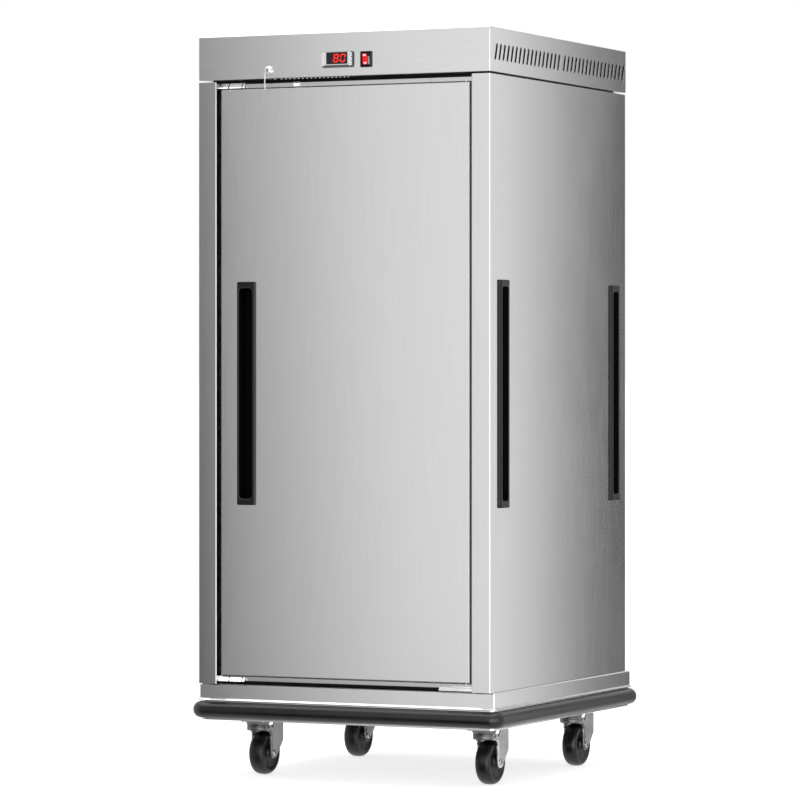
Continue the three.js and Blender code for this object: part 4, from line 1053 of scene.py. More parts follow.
def bezel():
    pl = front(CTRL_X, CTRL_Z, FRONT_Y)
    p = Part()

    def ring(l, r, b, t, rr, c):
        return [pl(x, z, c) for x, z in round_rect(l, r, b, t, rr, 5)]

    rings = [
        ring(-38.6, 38.6, -17.6, 17.6, 3.1, 0.35),
        ring(-39, 39, -18, 18, 3.5, 0.8),
        ring(-39, 39, -18, 18, 3.5, 1.6),
        ring(-39, 39, -18, 18, 3.5, 3.2),
        ring(-38.9, 38.8, -17.9, 17.95, 3.5, 4.2),
        ring(-38.6, 37.6, -15.8, 17.9, 3.4, 6.6),
        ring(-38.4, 36.6, -13.6, 17.75, 3.2, 7.9),
        ring(-38.0, 36.1, -12.9, 17.5, 2.9, 8.3),
        ring(-37.5, 35.7, -12.5, 17.2, 2.6, 8.4),
    ]
    # The bezel's foot, the first three bands up to 3.2 mm, is black: painted shade along the bezel's edge.
    p.rings(rings, [2, 2, 2, 0, 0, 0, 0, 0], cap_start=True)
    outer = round_rect(-37.5, 35.7, -12.5, 17.2, 2.6, 5)
    holes = [round_rect(-25.8, 27.4, -10.8, 16.35, 0.8, 3)]
    for kx in (-44.2 - CTRL_X, 24.6 - CTRL_X):
        for kz in (10.2, 0, -10.2):
            x0, x1 = kx - 4.0, kx + 4.0
            if kx > 0:
                x0, x1 = kx - 4.0, kx + 4.0
            holes.append(round_rect(x0, x1, kz - 4.5, kz + 4.5, 1.2, 3))
    outer2 = [(x, z) for x, z in outer]
    ok = [h for h in holes if all(inside(q, outer2) for q in h)]
    pts, faces = flat(outer2, ok)
    p.add([pl(x, z, 8.4) for x, z in pts], faces, 1)
    for h in ok:
        p.rings([[pl(x, z, 5.8) for x, z in h], [pl(x, z, 8.4) for x, z in h]], 2)
        q, ff = flat(h)
        p.add([pl(x, z, 5.8) for x, z in q], ff, 2)
    # the case behind the panel
    b = (CTRL_X - 35, CTRL_X + 35, FRONT_Y + 1.5, FRONT_Y + 57)
    p.rings(shell_rings((b, [(0.5, 1.2, CTRL_Z - 14.2), (0.0, 1.5, CTRL_Z - 13.6), (0.0, 1.5, CTRL_Z + 13.6), (0.5, 1.2, CTRL_Z + 14.2)]), world, 4), 2, cap_start=True, cap_end=True)
    make("controller_bezel", p, [BEZEL, SILVER, BLACK], "root", ("controller_body",), bevel=0.12, bevel_angle=55, smooth=50)


bezel()


def window():
    p = Part()
    pl = front(0, 0, 0)
    steps = [(0.15, 0.5, 418.75), (0.0, 0.6, 419.0), (0.0, 0.6, 420.2), (0.12, 0.55, 420.4), (0.4, 0.5, 420.48)]
    rings = [[pl(x, z, c) for x, z in round_rect(-35 + d, 17.5 - d, CTRL_Z - 10.4 + d, CTRL_Z + 15.9 - d, r, 4)] for d, r, c in steps]
    p.rings(rings, cap_start=True, cap_end=True)
    make("display_window", p, WINDOW, "root", ("controller_window",), smooth=60)
    # two seven-segment digits
    w, h, t, lean = 12.6, 18.6, 2.45, 0.13
    g = 0.28
    half = h / 2

    def seg_h(z):
        return [(g + t / 2, z), (t + g, z + t / 2), (w - t - g, z + t / 2), (w - g - t / 2, z), (w - t - g, z - t / 2), (t + g, z - t / 2)]

    def seg_v(x, z0, z1):
        return [(x, z0 + g + t / 2 - 0.4), (x + t / 2, z0 + g + t / 2 + 0.9), (x + t / 2, z1 - g - t / 2 - 0.9), (x, z1 - g - t / 2 + 0.4), (x - t / 2, z1 - g - t / 2 - 0.9), (x - t / 2, z0 + g + t / 2 + 0.9)]

    segs = {
        "a": seg_h(h - t / 2),
        "g": seg_h(half),
        "d": seg_h(t / 2),
        "f": seg_v(t / 2, half, h),
        "e": seg_v(t / 2, 0, half),
        "b": seg_v(w - t / 2, half, h),
        "c": seg_v(w - t / 2, 0, half),
    }
    lit = {"8": "abcdefg", "0": "abcdef"}
    p = Part()
    z0 = CTRL_Z - 6.6
    for ch, x0 in (("8", -18.6), ("0", -1.6)):
        for k in lit[ch]:
            pts = [(x0 + x + lean * z, z0 + z) for x, z in segs[k]]
            cx = sum(q[0] for q in pts) / len(pts)
            cz = sum(q[1] for q in pts) / len(pts)
            r0 = [pl(x, z, 420.44) for x, z in pts]
            r1 = [pl(x, z, 420.58) for x, z in pts]
            r2 = [pl(cx + (x - cx) * 0.97, cz + (z - cz) * 0.94, 420.62) for x, z in pts]
            area = sum(pts[i][0] * pts[(i + 1) % len(pts)][1] - pts[(i + 1) % len(pts)][0] * pts[i][1] for i in range(len(pts)))
            if area < 0:
                r0.reverse(), r1.reverse(), r2.reverse()
            p.rings([r0, r1, r2], cap_start=True, cap_end=True)
    make("display_digits", p, LED, "root", smooth=40)
    p = Part()
    for x, z in ((-23.0, CTRL_Z + 3.4), (-28.6, CTRL_Z + 3.4)):
        p.join(turned([(0.0, 0.02), (0.75, 0.02), (0.72, 0.14), (0.5, 0.2), (0.0, 0.2)], 16, front(x, z, -420.45)))
    make("display_lamps", p, LED_OFF, "root", smooth=40)


window()


def keys():
    marks = {
        ("left", "top"): [[(-1.9, -1.1), (1.9, -1.1), (0, 1.9)]],
        ("left", "middle"): [[(-2.0, -0.5), (2.0, -0.5), (2.0, 0.5), (-2.0, 0.5)]],
        ("left", "bottom"): [[(-1.9, 1.1), (0, -1.9), (1.9, 1.1)]],
        ("right", "top"): [[(-1.5, -1.6), (1.5, -1.6), (1.5, 1.6), (-1.5, 1.6)]],
        ("right", "middle"): [[(-2.0, 0.3), (2.0, 0.3), (2.0, 1.1), (-2.0, 1.1)], [(-2.0, -1.1), (2.0, -1.1), (2.0, -0.3), (-2.0, -0.3)]],
        ("right", "bottom"): [circle(0, 0, 1.7, 16)],
    }
    for side, x in (("left", -44.2), ("right", 24.6)):
        for level, z in (("top", 10.2), ("middle", 0.0), ("bottom", -10.2)):
            pl = front(x, CTRL_Z + z, 0)
            steps = [(0.1, 0.8, 417.2), (0.0, 0.9, 417.4), (0.0, 0.9, 420.7), (0.12, 0.85, 421.1), (0.45, 0.8, 421.35), (1.1, 0.7, 421.44)]
            rings = [[pl(a, b, c) for a, b in round_rect(-3.6 + d, 3.6 - d, -4.1 + d, 4.1 - d, r, 4)] for d, r, c in steps]
            p = Part().rings(rings, cap_start=True, cap_end=True)
            node = f"key_{side}_{level}"
            make(f"cap_{side}_{level}", p, KEY, node + "_body", (node,), smooth=60)
            q = Part()
            for pts in marks[(side, level)]:
                q.join(prism([(a * 0.84, b * 0.84) for a, b in pts], 421.3, 421.47, pl))
            make(f"mark_{side}_{level}", q, MARK, node + "_body", smooth=40)


keys()


def switch():
    pl = front(SWITCH_X, SWITCH_Z, FRONT_Y)
    p = Part()

    def ring(w, h, r, c):
        return [pl(x, z, c) for x, z in round_rect(-w, w, -h, h, r, 5)]

    rings = [
        ring(12.4, 17.0, 1.0, -24.2),
        ring(12.6, 17.1, 1.0, -23.6),
        ring(12.6, 17.1, 1.0, 0.35),
        ring(14.0, 17.9, 2.0, 0.35),
        ring(14.25, 18.15, 2.2, 0.8),
        ring(14.2, 18.1, 2.2, 2.8),
        ring(13.7, 17.6, 2.0, 3.9),
        ring(12.6, 17.1, 1.6, 4.35),
        ring(11.2, 16.5, 1.2, 4.4),
        ring(10.5, 16.2, 1.0, 4.1),
        ring(10.25, 16.05, 0.9, 3.2),
        ring(10.25, 16.05, 0.9, -22.0),
    ]
    p.rings(rings, 0, cap_start=True, cap_end=True)
    make("switch_frame", p, BLACK, "root", ("switch_housing",), smooth=50)

    prof = [(-6.95, 13.35), (-6.3, 11.4), (-4.4, 6.0), (-2.15, 0.2), (-1.75, -5.0), (-1.45, -10.0), (-1.2, -14.0), (3.9, -12.8), (10.9, -5.9), (10.9, 5.9), (3.9, 12.8)]
    prof = fillet_poly(prof, [0.7, 3, 8, 6, 6, 6, 0.7, 2, 3, 3, 2], 3)
    p = prism([(FRONT_Y + a, SWITCH_Z + b) for a, b in prof], -9.6, 9.6, lambda a, b, c: (SWITCH_X + c, a, b))
    make("rocker_body", p, BLACK, "rocker", ("switch_rocker",), bevel=0.5, bevel_angle=50, segs=3, smooth=50)

    # the lit lens lies on the rocker's face, with two printed arrows
    line = [(-6.25, 12.3), (-5.35, 9.4), (-4.2, 6.0), (-3.1, 3.0), (-2.25, 0.2), (-1.98, -3.5), (-1.75, -8.0), (-1.62, -11.6)]
    rings = []
    for a, b in line:
        rings.append([(SWITCH_X + x, FRONT_Y + a + d, SWITCH_Z + b) for x, d in ((-7.9, 0.25), (-7.7, -0.22), (-7.3, -0.36), (2.8, -0.36), (3.2, -0.22), (3.4, 0.25))])
    p = Part().rings(rings, cap_start=True, cap_end=True)
    make("rocker_lens", p, LENS, "rocker", bevel=0.15, bevel_angle=60, smooth=50)
    rings = []
    for a, b in line:
        rings.append([(SWITCH_X + x, FRONT_Y + a + d, SWITCH_Z + b) for x, d in ((5.0, 0.2), (5.2, -0.2), (9.0, -0.2), (9.2, 0.2))])
    make("rocker_shoulder", Part().rings(rings, cap_start=True, cap_end=True), ROCKER_GREY, "rocker", smooth=50)
    p = Part()

    def on_face(x, b):
        for (a0, b0), (a1, b1) in zip(line, line[1:]):
            if b0 >= b >= b1:
                t = (b0 - b) / (b0 - b1)
                return (SWITCH_X + x, FRONT_Y + a0 + (a1 - a0) * t, SWITCH_Z + b)
        return (SWITCH_X + x, FRONT_Y + line[-1][0], SWITCH_Z + b)

    for s, zc in ((1, 8.6), (-1, -8.4)):
        pts = [(-3.6, -0.3 * s), (0, 2.6 * s), (3.6, -0.3 * s), (3.6, -2.3 * s), (0, 0.1 * s), (-3.6, -2.3 * s)]
        if s < 0:
            pts = list(reversed(pts))
        r0, r1 = [], []
        for x, z in pts:
            q = on_face(x - 2.25, zc + z)
            r0.append((q[0], q[1] - 0.3, q[2]))
            r1.append((q[0], q[1] - 0.44, q[2]))
        q2, ff = flat([(a[0], a[2]) for a in r1])
        p.rings([r0, r1], 0)
        p.add([(x, on_face(x - SWITCH_X, z - SWITCH_Z)[1] - 0.44, z) for x, z in q2], ff)
        p.add([(x, on_face(x - SWITCH_X, z - SWITCH_Z)[1] - 0.3, z) for x, z in q2], [tuple(reversed(f)) for f in ff])
    make("rocker_arrows", p, WHITE, "rocker", smooth=40)


switch()


def lock():
    pl = front(LOCK_X, LOCK_Z, FRONT_Y)
    prof = [(5.4, -17.5), (7.9, -17.5), (7.9, 0.35), (9.4, 0.35), (10.1, 0.9), (10.15, 2.0), (9.8, 2.9), (9.2, 3.2), (5.4, 3.2), (5.4, -17.5)]
    make("lock_housing", turned(prof, 64, pl), CHROME, "root", ("lock_barrel",), smooth=45)
    p = Part()
    slot = round_rect(-0.95, 0.95, -4.2, 4.2, 0.7, 3)
    n = 48
    prof = [(4.6, -19.0), (4.6, 3.6), (8.9, 3.7), (9.15, 4.2), (9.15, 5.6), (8.9, 6.6), (8.2, 7.7), (7.2, 8.6), (5.9, 9.3), (4.7, 9.7)]
    rings = [[pl(r * math.cos(2 * PI * i / n), r * math.sin(2 * PI * i / n), c) for i in range(n)] for r, c in prof]
    p.rings(rings, cap_start=True)
    pts, faces = flat(circle(0, 0, 4.7, n), [slot])
    p.add([pl(x, z, 9.7) for x, z in pts], faces)
    # The key slot's walls and floor are black: painted shade in the slot.
    p.rings([[pl(x, z, 6.2) for x, z in slot], [pl(x, z, 9.7) for x, z in slot]], 1)
    q, ff = flat(slot)
    p.add([pl(x, z, 6.2) for x, z in q], ff, 1)
    # the narrow latch blade that hangs over the door's edge
    b = (LOCK_X - 9.85, LOCK_X - 7.15, -418.9, -417.1)
    steps = [(0.5, 0.4, LOCK_Z - 43.9), (0.1, 0.7, LOCK_Z - 43.3), (0.0, 0.8, LOCK_Z - 42.0), (0.0, 0.8, LOCK_Z - 1.0), (0.3, 0.5, LOCK_Z - 0.2)]
    p.rings(shell_rings((b, steps), world, 3), cap_start=True, cap_end=True)
    make("lock_cylinder", p, [CHROME, BLACK], "lock", ("lock_plug",), smooth=45)


lock()


def inlet():
    pl = lambda a, b, c: (INLET_X - a, BACK_Y + c, INLET_Z + b)
    p = Part()

    def ring(w, h, r, c):
        return [pl(x, z, c) for x, z in round_rect(-w, w, -h, h, r, 5)]

    rings = [ring(23.6, 13.6, 3, -29.6), ring(24, 14, 3, -29.0), ring(24, 14, 3, 0.35), ring(28.4, 16.4, 5, 0.35), ring(29, 17, 5.4, 0.9), ring(28.8, 16.8, 5.3, 2.2), ring(28.0, 16.0, 5, 2.85), ring(21.6, 11.6, 3.6, 2.9), ring(21.1, 11.1, 3.2, 2.4), ring(21, 11, 3, -19.6)]
    p.rings(rings, cap_start=True, cap_end=True)
    make("inlet_socket", p, BLACK, "root", ("power_inlet",), smooth=50)
    p = Part()
    for x in (-13, 0, 13):
        steps = [(0.0, 0.3, -20.0), (0.0, 0.3, -6.2), (0.3, 0.3, -5.2)]
        p.rings([[pl(a, b, c) for a, b in round_rect(x - 1.15 + d, x + 1.15 - d, -3.9 + d, 3.9 - d, r, 3)] for d, r, c in steps], cap_start=True, cap_end=True)
    make("inlet_pins", p, ZINC, "root", smooth=50)
    p = Part()
    for x in (-25.2, 25.2):
        p.join(screw(lambda a, b, c, x=x: pl(x + a, b, 2.85 + c), 2.4, 1.2))
    make("inlet_screws", p, ZINC, "root", smooth=50)


inlet()


# =================================================================== interior
def liner():
    """Drawn liner with coved corners and a flanged mouth."""
    x, y0, y1, z0, z1 = 290.0, -357.2, 342.0, 262.0, 1562.0

    def ring(d, r, y):
        return [(a, y, b) for a, b in round_rect(-x + d, x - d, z0 + d, z1 - d, r, 6)]

    def outer(d, r, y):
        return [(a, y, b) for a, b in round_rect(-OPEN_HALF + 0.6 + d, OPEN_HALF - 0.6 - d, DOOR_Z0 + 0.3 + d, DOOR_Z1 - 0.3 - d, r, 6)]

    rings = [outer(0.4, 1.0, y0 + 1.1), outer(0.0, 1.2, y0 + 0.7), outer(0.0, 1.2, y0 + 0.3), outer(0.4, 1.2, y0)]
    for a in (90, 65, 40, 20, 0):
        q = 2.2
        rings.append(ring(-q * math.sin(rad(a)) - 0.05 + 0.05, 10.0, y0 + q * (1 - math.sin(rad(90 - a)))))
    for a in (0, 15, 30, 45, 60, 75, 90):
        c = 12.0
        rings.append(ring(c * (1 - math.cos(rad(a))), 14.0, y1 - c + c * math.sin(rad(a))))
    p = Part().rings(rings, cap_end=True)
    make("cavity_liner", p, LINER_Z, "root", ("inner_liner",), solid=-1.0, smooth=60, face_out=False)


liner()


def slides():
    for s, side in ((1, "right"), (-1, "left")):
        p = Part()
        for i in range(11):
            z = 375.0 + 105.0 * i
            prof = [(286.2, z + 19.8), (286.2, z + 0.1), (257.3, z + 0.1), (257.3, z + 4.2)]
            f = Fold(prof, [0, 2.2, 1.4, 0], segs=4)
            rows = [(q.x, q.y) for q in f.p]
            back = []
            for k, q in enumerate(f.p):
                a = f.p[max(k - 1, 0)]
                b = f.p[min(k + 1, len(f.p) - 1)]
                t = (b - a).normalized()
                back.append((q.x + t.y * 1.5 * -1, q.y - t.x * 1.5 * -1))
            # inner side of the angle is up and towards the wall's face
            loop = rows + [(x, zz) for x, zz in reversed(back)]
            rings = []
            for y, lift in ((-334.6, 3.2), (-329.0, 1.2), (-320.0, 0.0), (-160.0, 0.0), (0.0, 0.0), (160.0, 0.0), (312.0, 0.0), (324.4, 0.0)):
                rings.append([(s * (x if x > 258 else x), y, zz) for x, zz in loop])
            p.rings(rings, cap_start=True, cap_end=True)
        make(f"tray_runners_{side}", p, LINER, "root", (f"tray_slides_{side}",), smooth=50)
        p = Part()
        for y in (-285.0, 245.0):
            f = Fold([(s * 289.2, y - 15), (s * 286.6, y - 15), (s * 286.6, y + 15), (s * 289.2, y + 15)], [0, 0.9, 0.9, 0], segs=3)
            holes = []
            for i in range(11):
                u = f.length / 2
                zc = 375.0 + 105.0 * i + 40
                holes.append([(u + a, zc + b) for a, b in round_rect(-3.5, 3.5, -7, 7, 3.3, 3)])
            q = folded(f, 320.4, 1469.6, holes)
            p.join(q)
            for i in range(11):
                p.join(rivet(lambda a, b, c, y=y, i=i: (s * (284.2 - c), y + s * a, 375.0 + 105.0 * i + 11 + b), 3.0, 1.0))
        make(f"tray_uprights_{side}", p, LINER_Z, "root", smooth=50, solid=0.0)


slides()


def pan():
    b = (-162.4, 162.4, -319.9, -55.1)
    z = 262.5
    steps = [(11, 14, z + 39.2), (1.2, 20, z + 39.4), (0.3, 20, z + 39.0), (0.0, 20, z + 38.2), (0.3, 20, z + 37.6), (9.0, 17, z + 38.2)]
    steps = [(0.6, 20, z + 37.4), (0.1, 20, z + 38.0), (0.1, 20, z + 38.8), (0.6, 20, z + 39.3), (8.5, 17, z + 39.3), (9.6, 16.5, z + 38.9), (10.2, 16.2, z + 37.8)]
    steps += [(12.5, 15.0, z + 8.0), (13.4, 14.5, z + 4.5), (15.6, 13.0, z + 2.2), (19.0, 11.0, z + 1.4)]
    rings = shell_rings((b, steps), world, 7)
    p = Part().rings(rings, cap_end=True)
    make("humidity_pan", p, LINER, "root", ("water_pan",), solid=-0.9, smooth=60, face_out=False)


pan()


def baffle():
    """Air baffle: a folded tray with a ringed guard and rows of round holes along both sides."""
    z = 1505.0
    f = Fold([(-277.9, 1561.4), (-277.9, z + 0.1), (277.9, z + 0.1), (277.9, 1561.4)], [0, 3.0, 3.0, 0], segs=4)
    c = f.length / 2
    holes = []
    for r0, r1 in ((17, 38), (45, 69)):
        for q in range(8):
            a0 = PI / 4 * q + 0.31 + 3.0 / r0
            a1 = PI / 4 * (q + 1) + 0.31 - 3.0 / r0
            b0 = PI / 4 * q + 0.31 + 3.0 / r1
            b1 = PI / 4 * (q + 1) + 0.31 - 3.0 / r1
            pts = [(r1 * math.cos(b0 + (b1 - b0) * i / 5), r1 * math.sin(b0 + (b1 - b0) * i / 5)) for i in range(6)]
            pts += [(r0 * math.cos(a1 + (a0 - a1) * i / 4), r0 * math.sin(a1 + (a0 - a1) * i / 4)) for i in range(5)]
            holes.append([(c + x, FAN_Y + y) for x, y in fillet_poly(pts, [1.5] + [0] * 4 + [1.5, 1.5] + [0] * 3 + [1.5], 2)])
    for s in (-1, 1):
        for i in range(18):
            holes.append(circle(c + s * 240, -260 + 30 * i, 6.0, 14))
    p = folded(f, -299.6, 319.6, holes, fn=lambda x, y, v: (x, v, y))
    make("fan_baffle", p, LINER, "root", ("air_baffle",), solid=1.0, smooth=60, face_out=False)
    q = Part()
    for x in (-262, 262):
        for y in (-280, 10, 300):
            q.join(screw(lambda a, b, c, x=x, y=y: (x + a, y - b, z - 0.1 - c), 4.0, 1.5))
    make("baffle_screws", q, ZINC, "root", smooth=50)


baffle()


def heater():
    """Sheathed ring element with two risers."""
    n, k, R, r = 96, 16, 108.0, 3.95
    p = Part()
    rings = []
    for i in range(n):
        a = 2 * PI * i / n
        rings.append([((R + r * math.cos(t)) * math.cos(a), FAN_Y + (R + r * math.cos(t)) * math.sin(a), 1540 + r * math.sin(t)) for t in [2 * PI * j / k for j in range(k)]])
    p.rings(rings, loop=True)
    for x in (-20, 20):
        p.join(turned([(0.0, 1539.2), (2.8, 1539.4), (3.9, 1541), (3.9, 1617.4), (3.3, 1617.9), (0.0, 1617.9)], 20, axis_z(x, FAN_Y + 106)))
    make("ring_heater", p, SLEEVE, "root", ("heater_element",), smooth=60)


heater()


def motor():
    p = Part()
    prof = [(0.0, 1524.4), (4.4, 1524.4), (4.9, 1525.0), (4.9, HEAD_Z0 + 0.1), (57.2, HEAD_Z0 + 0.1), (57.9, HEAD_Z0 + 0.7), (57.9, HEAD_Z0 + 2.4), (57.2, HEAD_Z0 + 2.9), (45.5, HEAD_Z0 + 3.0)]
    for i in range(9):
        z = HEAD_Z0 + 8 + i * 6
        prof += [(44.8, z), (44.8, z + 2.6), (41.6, z + 3.0), (41.6, z + 5.6)]
    prof += [(44.0, HEAD_Z0 + 62.5), (38.0, HEAD_Z0 + 66.5), (30.0, HEAD_Z0 + 69.6), (0.0, HEAD_Z0 + 69.8)]
    p.join(turned(prof, 64, axis_z(0, FAN_Y)))
    for i in range(4):
        a = PI / 4 + PI / 2 * i
        p.join(hex_head(lambda u, v, c, a=a: (51 * math.cos(a) + u, FAN_Y + 51 * math.sin(a) + v, HEAD_Z0 + 2.9 + c), 7.0, 3.0, 5.0))
    make("fan_drive", p, CAST, "root", ("fan_motor",), smooth=40)


motor()


def impeller():
    """Radial blower wheel: back plate, hub and eight curved blades."""
    ax = axis_z(0, FAN_Y)
    p = turned([(5.5, 1526.2), (9.3, 1526.2), (9.9, 1526.8), (9.9, 1553.0), (12.0, 1553.7), (75.2, 1553.7), (75.8, 1554.2), (75.8, 1555.0), (75.2, 1555.4), (5.5, 1555.4), (5.5, 1526.2)], 72, ax)
    for i in range(8):
        a = 2 * PI * i / 8 + 0.02
        left, right = [], []
        for k in range(9):
            q = 32.5 + 41.0 * k / 8
            w = 0.05 + 0.16 * math.sin(PI * k / 8) * 0.35
            w = 0.10 * (q - 32) / 41
            for side, out in ((0.7, left), (-0.7, right)):
                x = q * math.cos(a + w) - side * math.sin(a + w)
                y = q * math.sin(a + w) + side * math.cos(a + w)
                out.append((x, y))
        outline = right + list(reversed(left))
        rr = [[(x, FAN_Y + y, z) for x, y in outline] for z in (1529.4, 1553.9)]
        q = Part()
        q.rings(rr, cap_start=True, cap_end=True)
        p.join(q)
    make("blower_wheel", p, CAST, "fan_wheel", ("fan_impeller",), smooth=45)


impeller()


def terminals():
    p = boxy(140.3, 225.7, 105.3, 144.7, HEAD_Z0 + 0.2, HEAD_Z0 + 11.8, 1.2)
    for i in range(5):
        p.join(boxy(150 + 14 * i, 160 + 14 * i, 112.2, 137.8, HEAD_Z0 + 11.2, HEAD_Z0 + 23.8, 0.8))
    make("terminal_strip", p, BLACK, "root", ("terminal_block",), smooth=50)
    q = Part()
    for i in range(5):
        for y in (118, 132):
            q.join(screw(lambda a, b, c, i=i, y=y: (155 + 14 * i + a, y + b, HEAD_Z0 + 23.7 + c * 0.12), 2.6, 1.6))
    make("terminal_screws", q, ZINC, "root", smooth=50)


terminals()


# ============================================================ door's inner side
def door_inside():
    x1, z0, z1 = DOOR_HALF - 1.6, DOOR_Z0 + 1.6, DOOR_Z1 - 1.6
    rings = []

    def ring(d, r, y, n=5):
        return [(-a, y, b) for a, b in round_rect(-x1 + d, x1 - d, z0 + d, z1 - d, r, n)]

    # the field inside the gasket is pressed back slightly to stiffen it
    for d, r, y in ((0.0, 2.0, -368.1), (0.0, 2.0, -367.4), (0.4, 2.0, -367.05), (40.0, 4.0, -367.05), (41.5, 5.0, -367.2), (44.0, 6.0, -367.9), (46.0, 7.0, -368.1)):
        rings.append(ring(d, r, y))
    p = Part().rings(rings, cap_end=True, cap_start=True)
    make("door_inner_sheet", p, LINER_Z, "door", ("door_inner_panel",), smooth=60)
    q = Part()
    for z in [z0 + 60 + i * (z1 - z0 - 120) / 6 for i in range(7)]:
        for x in (-x1 + 30, x1 - 30):
            q.join(screw(axis_y(x, -367.1, z, 1), 3.6, 1.3))
    make("door_inner_screws", q, ZINC, "door", smooth=50)


door_inside()


def gasket():
    """Push-in silicone seal: a flat foot, a hollow bulb with two ridges, mitred at the corners."""
    y0, y1 = DOOR_BACK + 0.35, -357.9
    d = y1 - y0
    sec = [(0.0, 0.0), (0.0, 2.0), (2.2, 2.6), (2.6, 3.6), (1.2, 4.8), (0.7, 6.4), (1.6, 8.0), (3.6, 8.9), (5.4, 9.05), (6.0, 8.7), (6.5, 8.75), (7.0, 9.05), (9.0, 8.9), (11.0, 8.0), (12.1, 6.4), (11.6, 4.8), (10.3, 3.6), (10.7, 2.6), (12.8, 2.0), (12.8, 0.0)]
    rings = []
    for o, h in sec:
        inset = o + 0.1
        rings.append([(-a, y0 + min(h, d), b) for a, b in round_rect(-306 + inset, 306 - inset, 247 + inset, 1577 - inset, max(14.0 - inset * 0.9, 1.0), 7)])
    p = Part().rings(rings, loop=True)
    make("door_seal", p, GASKET, "door", ("door_gasket",), smooth=55)


gasket()


# ================================================================= hidden parts
def quilt(node, name, body):
    """Mineral wool batt: rounded and slightly lumpy, a little smaller than the space it fills."""
    o = refine(node, name, WOOL, body, width=4.0, segs=3)
    me = o.data
    rnd = random.Random(7)
    ph = [rnd.uniform(0, 6.28) for _ in range(6)]
    lo = Vector((min(v.co.x for v in me.vertices), min(v.co.y for v in me.vertices), min(v.co.z for v in me.vertices)))
    hi = Vector((max(v.co.x for v in me.vertices), max(v.co.y for v in me.vertices), max(v.co.z for v in me.vertices)))
    mid = (lo + hi) / 2
    for v in me.vertices:
        q = v.co / MM
        w = 0.35 * math.sin(q.x / 37 + ph[0]) * math.sin(q.z / 51 + ph[1]) + 0.25 * math.sin(q.y / 29 + ph[2])
        d = (v.co - mid)
        v.co -= Vector((math.copysign(0.4 + 0.3 * w, d.x), math.copysign(0.4 + 0.3 * w, d.y), math.copysign(0.4 + 0.3 * w, d.z))) * MM
    return o


quilt("insulation_jacket", "wool_jacket", "root")
quilt("door_insulation", "wool_batt_door", "door")
# The chassis frame inside the base takes the same darker zinc.
refine("chassis_frame", "chassis_weldment", ZINC_SHADED, "root", width=1.6, segs=3)


# ==================================================================== lighting
def emitter(name, colour_fn, origin, ua, va, stage_only=True):
    """A flat studio card seen only in reflections: origin and two edge vectors, in metres."""
    me = bpy.data.meshes.new(name)
    o, u, v = Vector(origin), Vector(ua), Vector(va)
    me.from_pydata([o, o + u, o + u + v, o + v], [], [(0, 1, 2, 3)])
    ob = bpy.data.objects.new(name, me)
    SCENE.collection.objects.link(ob)
    m = bpy.data.materials.new(name)
    m.use_nodes = True
    nt = m.node_tree
    nt.nodes.clear()
    out = nt.nodes.new("ShaderNodeOutputMaterial")
    em = nt.nodes.new("ShaderNodeEmission")
    nt.links.new(em.outputs[0], out.inputs["Surface"])
    colour_fn(nt, em)
    me.materials.append(m)
    ob.visible_camera = False
    ob.visible_diffuse = False
    ob.visible_shadow = False
    ob.visible_transmission = False
    return ob


def profile_of(stops, weights):
    """Emission that follows a curve along weights . position, stops as (value, radiance)."""

    def fn(nt, em):
        tc = nt.nodes.new("ShaderNodeTexCoord")
        dot = nt.nodes.new("ShaderNodeVectorMath")
        dot.operation = "DOT_PRODUCT"
        dot.inputs[1].default_value = weights
        nt.links.new(tc.outputs["Object"], dot.inputs[0])
        lo, hi = stops[0][0], stops[-1][0]
        mr = nt.nodes.new("ShaderNodeMapRange")
        mr.inputs["From Min"].default_value = lo
        mr.inputs["From Max"].default_value = hi
        nt.links.new(dot.outputs["Value"], mr.inputs["Value"])
        ramp = nt.nodes.new("ShaderNodeValToRGB")
        ramp.color_ramp.interpolation = "LINEAR"
        els = ramp.color_ramp.elements
        top = max(s[1] for s in stops)
        while len(els) > 1:
            els.remove(els[-1])
        for i, (t, e) in enumerate(stops):
            q = els[0] if i == 0 else els.new((t - lo) / (hi - lo))
            q.position = (t - lo) / (hi - lo)
            g = e / top
            q.color = (g, g, g, 1)
        nt.links.new(mr.outputs[0], ramp.inputs[0])
        nt.links.new(ramp.outputs[0], em.inputs["Color"])
        em.inputs["Strength"].default_value = top

    return fn


def constant(value):
    def fn(nt, em):
        em.inputs["Color"].default_value = (1, 1, 1, 1)
        em.inputs["Strength"].default_value = value

    return fn


# what the door, header and base front mirror: a soft card to the front left
emitter(
    "card_front",
    profile_of([(-3.4, 0.85), (-2.1, 0.85), (-1.86, 0.72), (-1.68, 0.35), (-1.56, 0.02), (-1.482, 0.0), (-1.412, 0.02), (-1.362, 0.14), (-1.3, 0.31), (-1.215, 0.46), (-1.063, 0.62), (-0.97, 0.73), (-0.8795, 0.82), (-0.757, 0.97), (-0.636, 1.06), (-0.55, 1.1), (-0.352, 1.13), (0.6, 1.17)], (1.0, 0.0, 0.068)),
    (-3.4, -2.2, -0.16), (4.2, 0, 0), (0, 0, 3.4),
)
emitter("card_front_low", profile_of([(-3.4, 0.85), (-2.1, 0.85), (-1.86, 0.7), (-1.66, 0.3), (-1.52, 0.05), (-1.3, 0.03), (0.8, 0.03)], (1.0, 0.0, 0.0)), (-3.4, -2.2, -2.4), (4.2, 0, 0), (0, 0, 2.24))
# what the right side mirrors: a card behind and to the right
emitter(
    "card_side",
    profile_of([(1.0, 1.34), (2.56, 1.34), (2.76, 1.30), (2.96, 1.20), (3.12, 0.96), (3.27, 0.58), (3.39, 0.28), (3.49, 0.09), (3.6, 0.0), (6.6, 0.0)], (0.0, 1.0, 0.0)),
    (1.8, 1.0, -2.0), (0, 5.6, 0), (0, 0, 5.0),
)
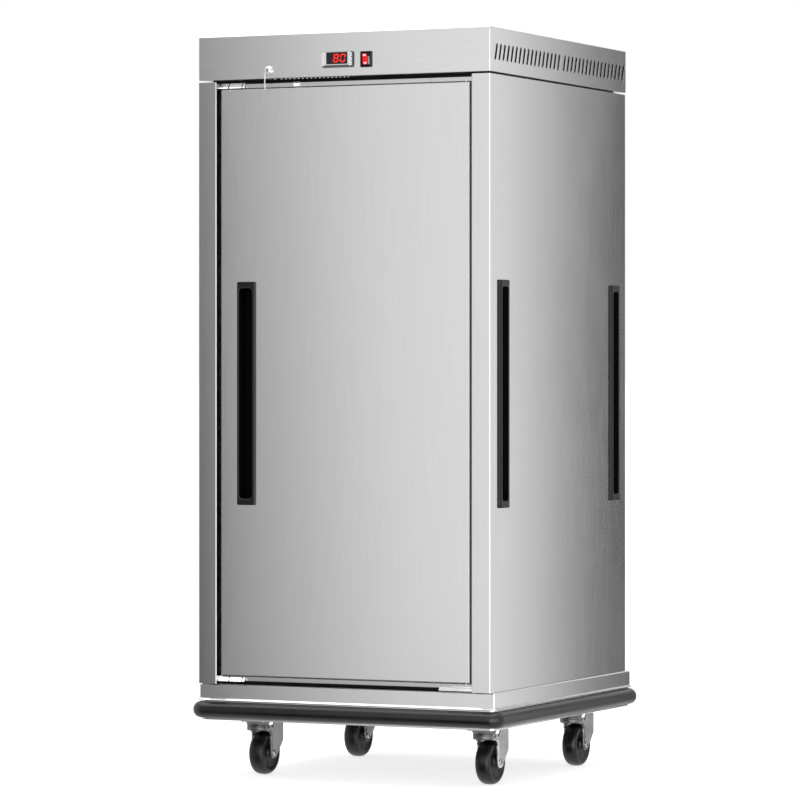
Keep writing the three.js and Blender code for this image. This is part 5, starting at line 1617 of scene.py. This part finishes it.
# key and top boxes that put bright lines on the folded edges
emitter("box_key", profile_of([(-1.2, 3.2), (1.85, 3.2), (2.12, 1.0), (2.3, 1.0)], (0.0, 0.0, 1.0)), (1.2, -4.6, -1.2), (2.6, 1.6, 0), (0, 0, 3.5))
# a tall strip to the right front, for the upright edges, and a small hot spot low behind the lens
emitter("box_edge", constant(3.0), (3.9, -2.9, -0.6), (0.5, 1.7, 0), (0, 0, 2.7))
emitter("box_spot", constant(9.0), (1.62, -4.3, -0.25), (0.5, 0.31, 0), (0, 0, 0.55))
emitter("box_top", constant(2.8), (-2.9, -2.6, 3.6), (5.2, 0, 0), (0, 3.6, 0))


def area(name, loc, target, size, power):
    l = bpy.data.lights.new(name, "AREA")
    l.shape = "RECTANGLE"
    l.size, l.size_y = size
    l.energy = power
    o = bpy.data.objects.new(name, l)
    o.location = loc
    o.rotation_mode = "QUATERNION"
    o.rotation_quaternion = (Vector(target) - Vector(loc)).to_track_quat("-Z", "Y")
    o.visible_glossy = False
    o.visible_camera = False
    SCENE.collection.objects.link(o)
    return o


area("soft_top", (0.2, -0.6, 4.4), (0, 0, 0.8), (4.0, 4.0), 160)
area("soft_front", (2.4, -5.0, 2.8), (0, 0, 0.8), (3.0, 2.4), 120)

w = bpy.data.worlds.new("studio")
SCENE.world = w
w.use_nodes = True
bg = w.node_tree.nodes.get("Background") or w.node_tree.nodes.new("ShaderNodeBackground")
bg.inputs["Color"].default_value = (1, 1, 1, 1)
bg.inputs["Strength"].default_value = 1.0


def floor():
    me = bpy.data.meshes.new("studio_floor")
    s = 600.0
    me.from_pydata([(-s, -s, 0), (s, -s, 0), (s, s, 0), (-s, s, 0)], [], [(0, 1, 2, 3)])
    o = bpy.data.objects.new("studio_floor", me)
    SCENE.collection.objects.link(o)
    m, nt, sh = nodes_of("studio_floor")
    n = noise(nt, (1.5, 1.5, 1.5), 3.0, 0.5)
    nt.links.new(tint(nt, n, (0.40, 0.40, 0.40), (0.42, 0.42, 0.42)), sh.inputs["Base Color"])
    sh.inputs["Roughness"].default_value = 0.9
    sh.inputs["Specular IOR Level"].default_value = 0.0
    sh.inputs["Emission Color"].default_value = (1, 1, 1, 1)
    sh.inputs["Emission Strength"].default_value = 0.74
    me.materials.append(m)
    o.visible_glossy = False
    return o


floor()

# ====================================================================== camera
cam = bpy.data.cameras.new("camera")
cam.sensor_fit = "HORIZONTAL"
cam.sensor_width = 36.0
cam.lens = 186.78
cam.shift_y = -0.0296
cam.clip_start, cam.clip_end = 0.1, 2000.0
camera = bpy.data.objects.new("camera", cam)
SCENE.collection.objects.link(camera)
camera.location = (4.1204, -8.8404, 0.9261)
camera.rotation_mode = "QUATERNION"
camera.rotation_quaternion = Vector((-0.42660, 0.90444, 0.0)).to_track_quat("-Z", "Y")
SCENE.camera = camera
SCENE.view_settings.view_transform = "Standard"
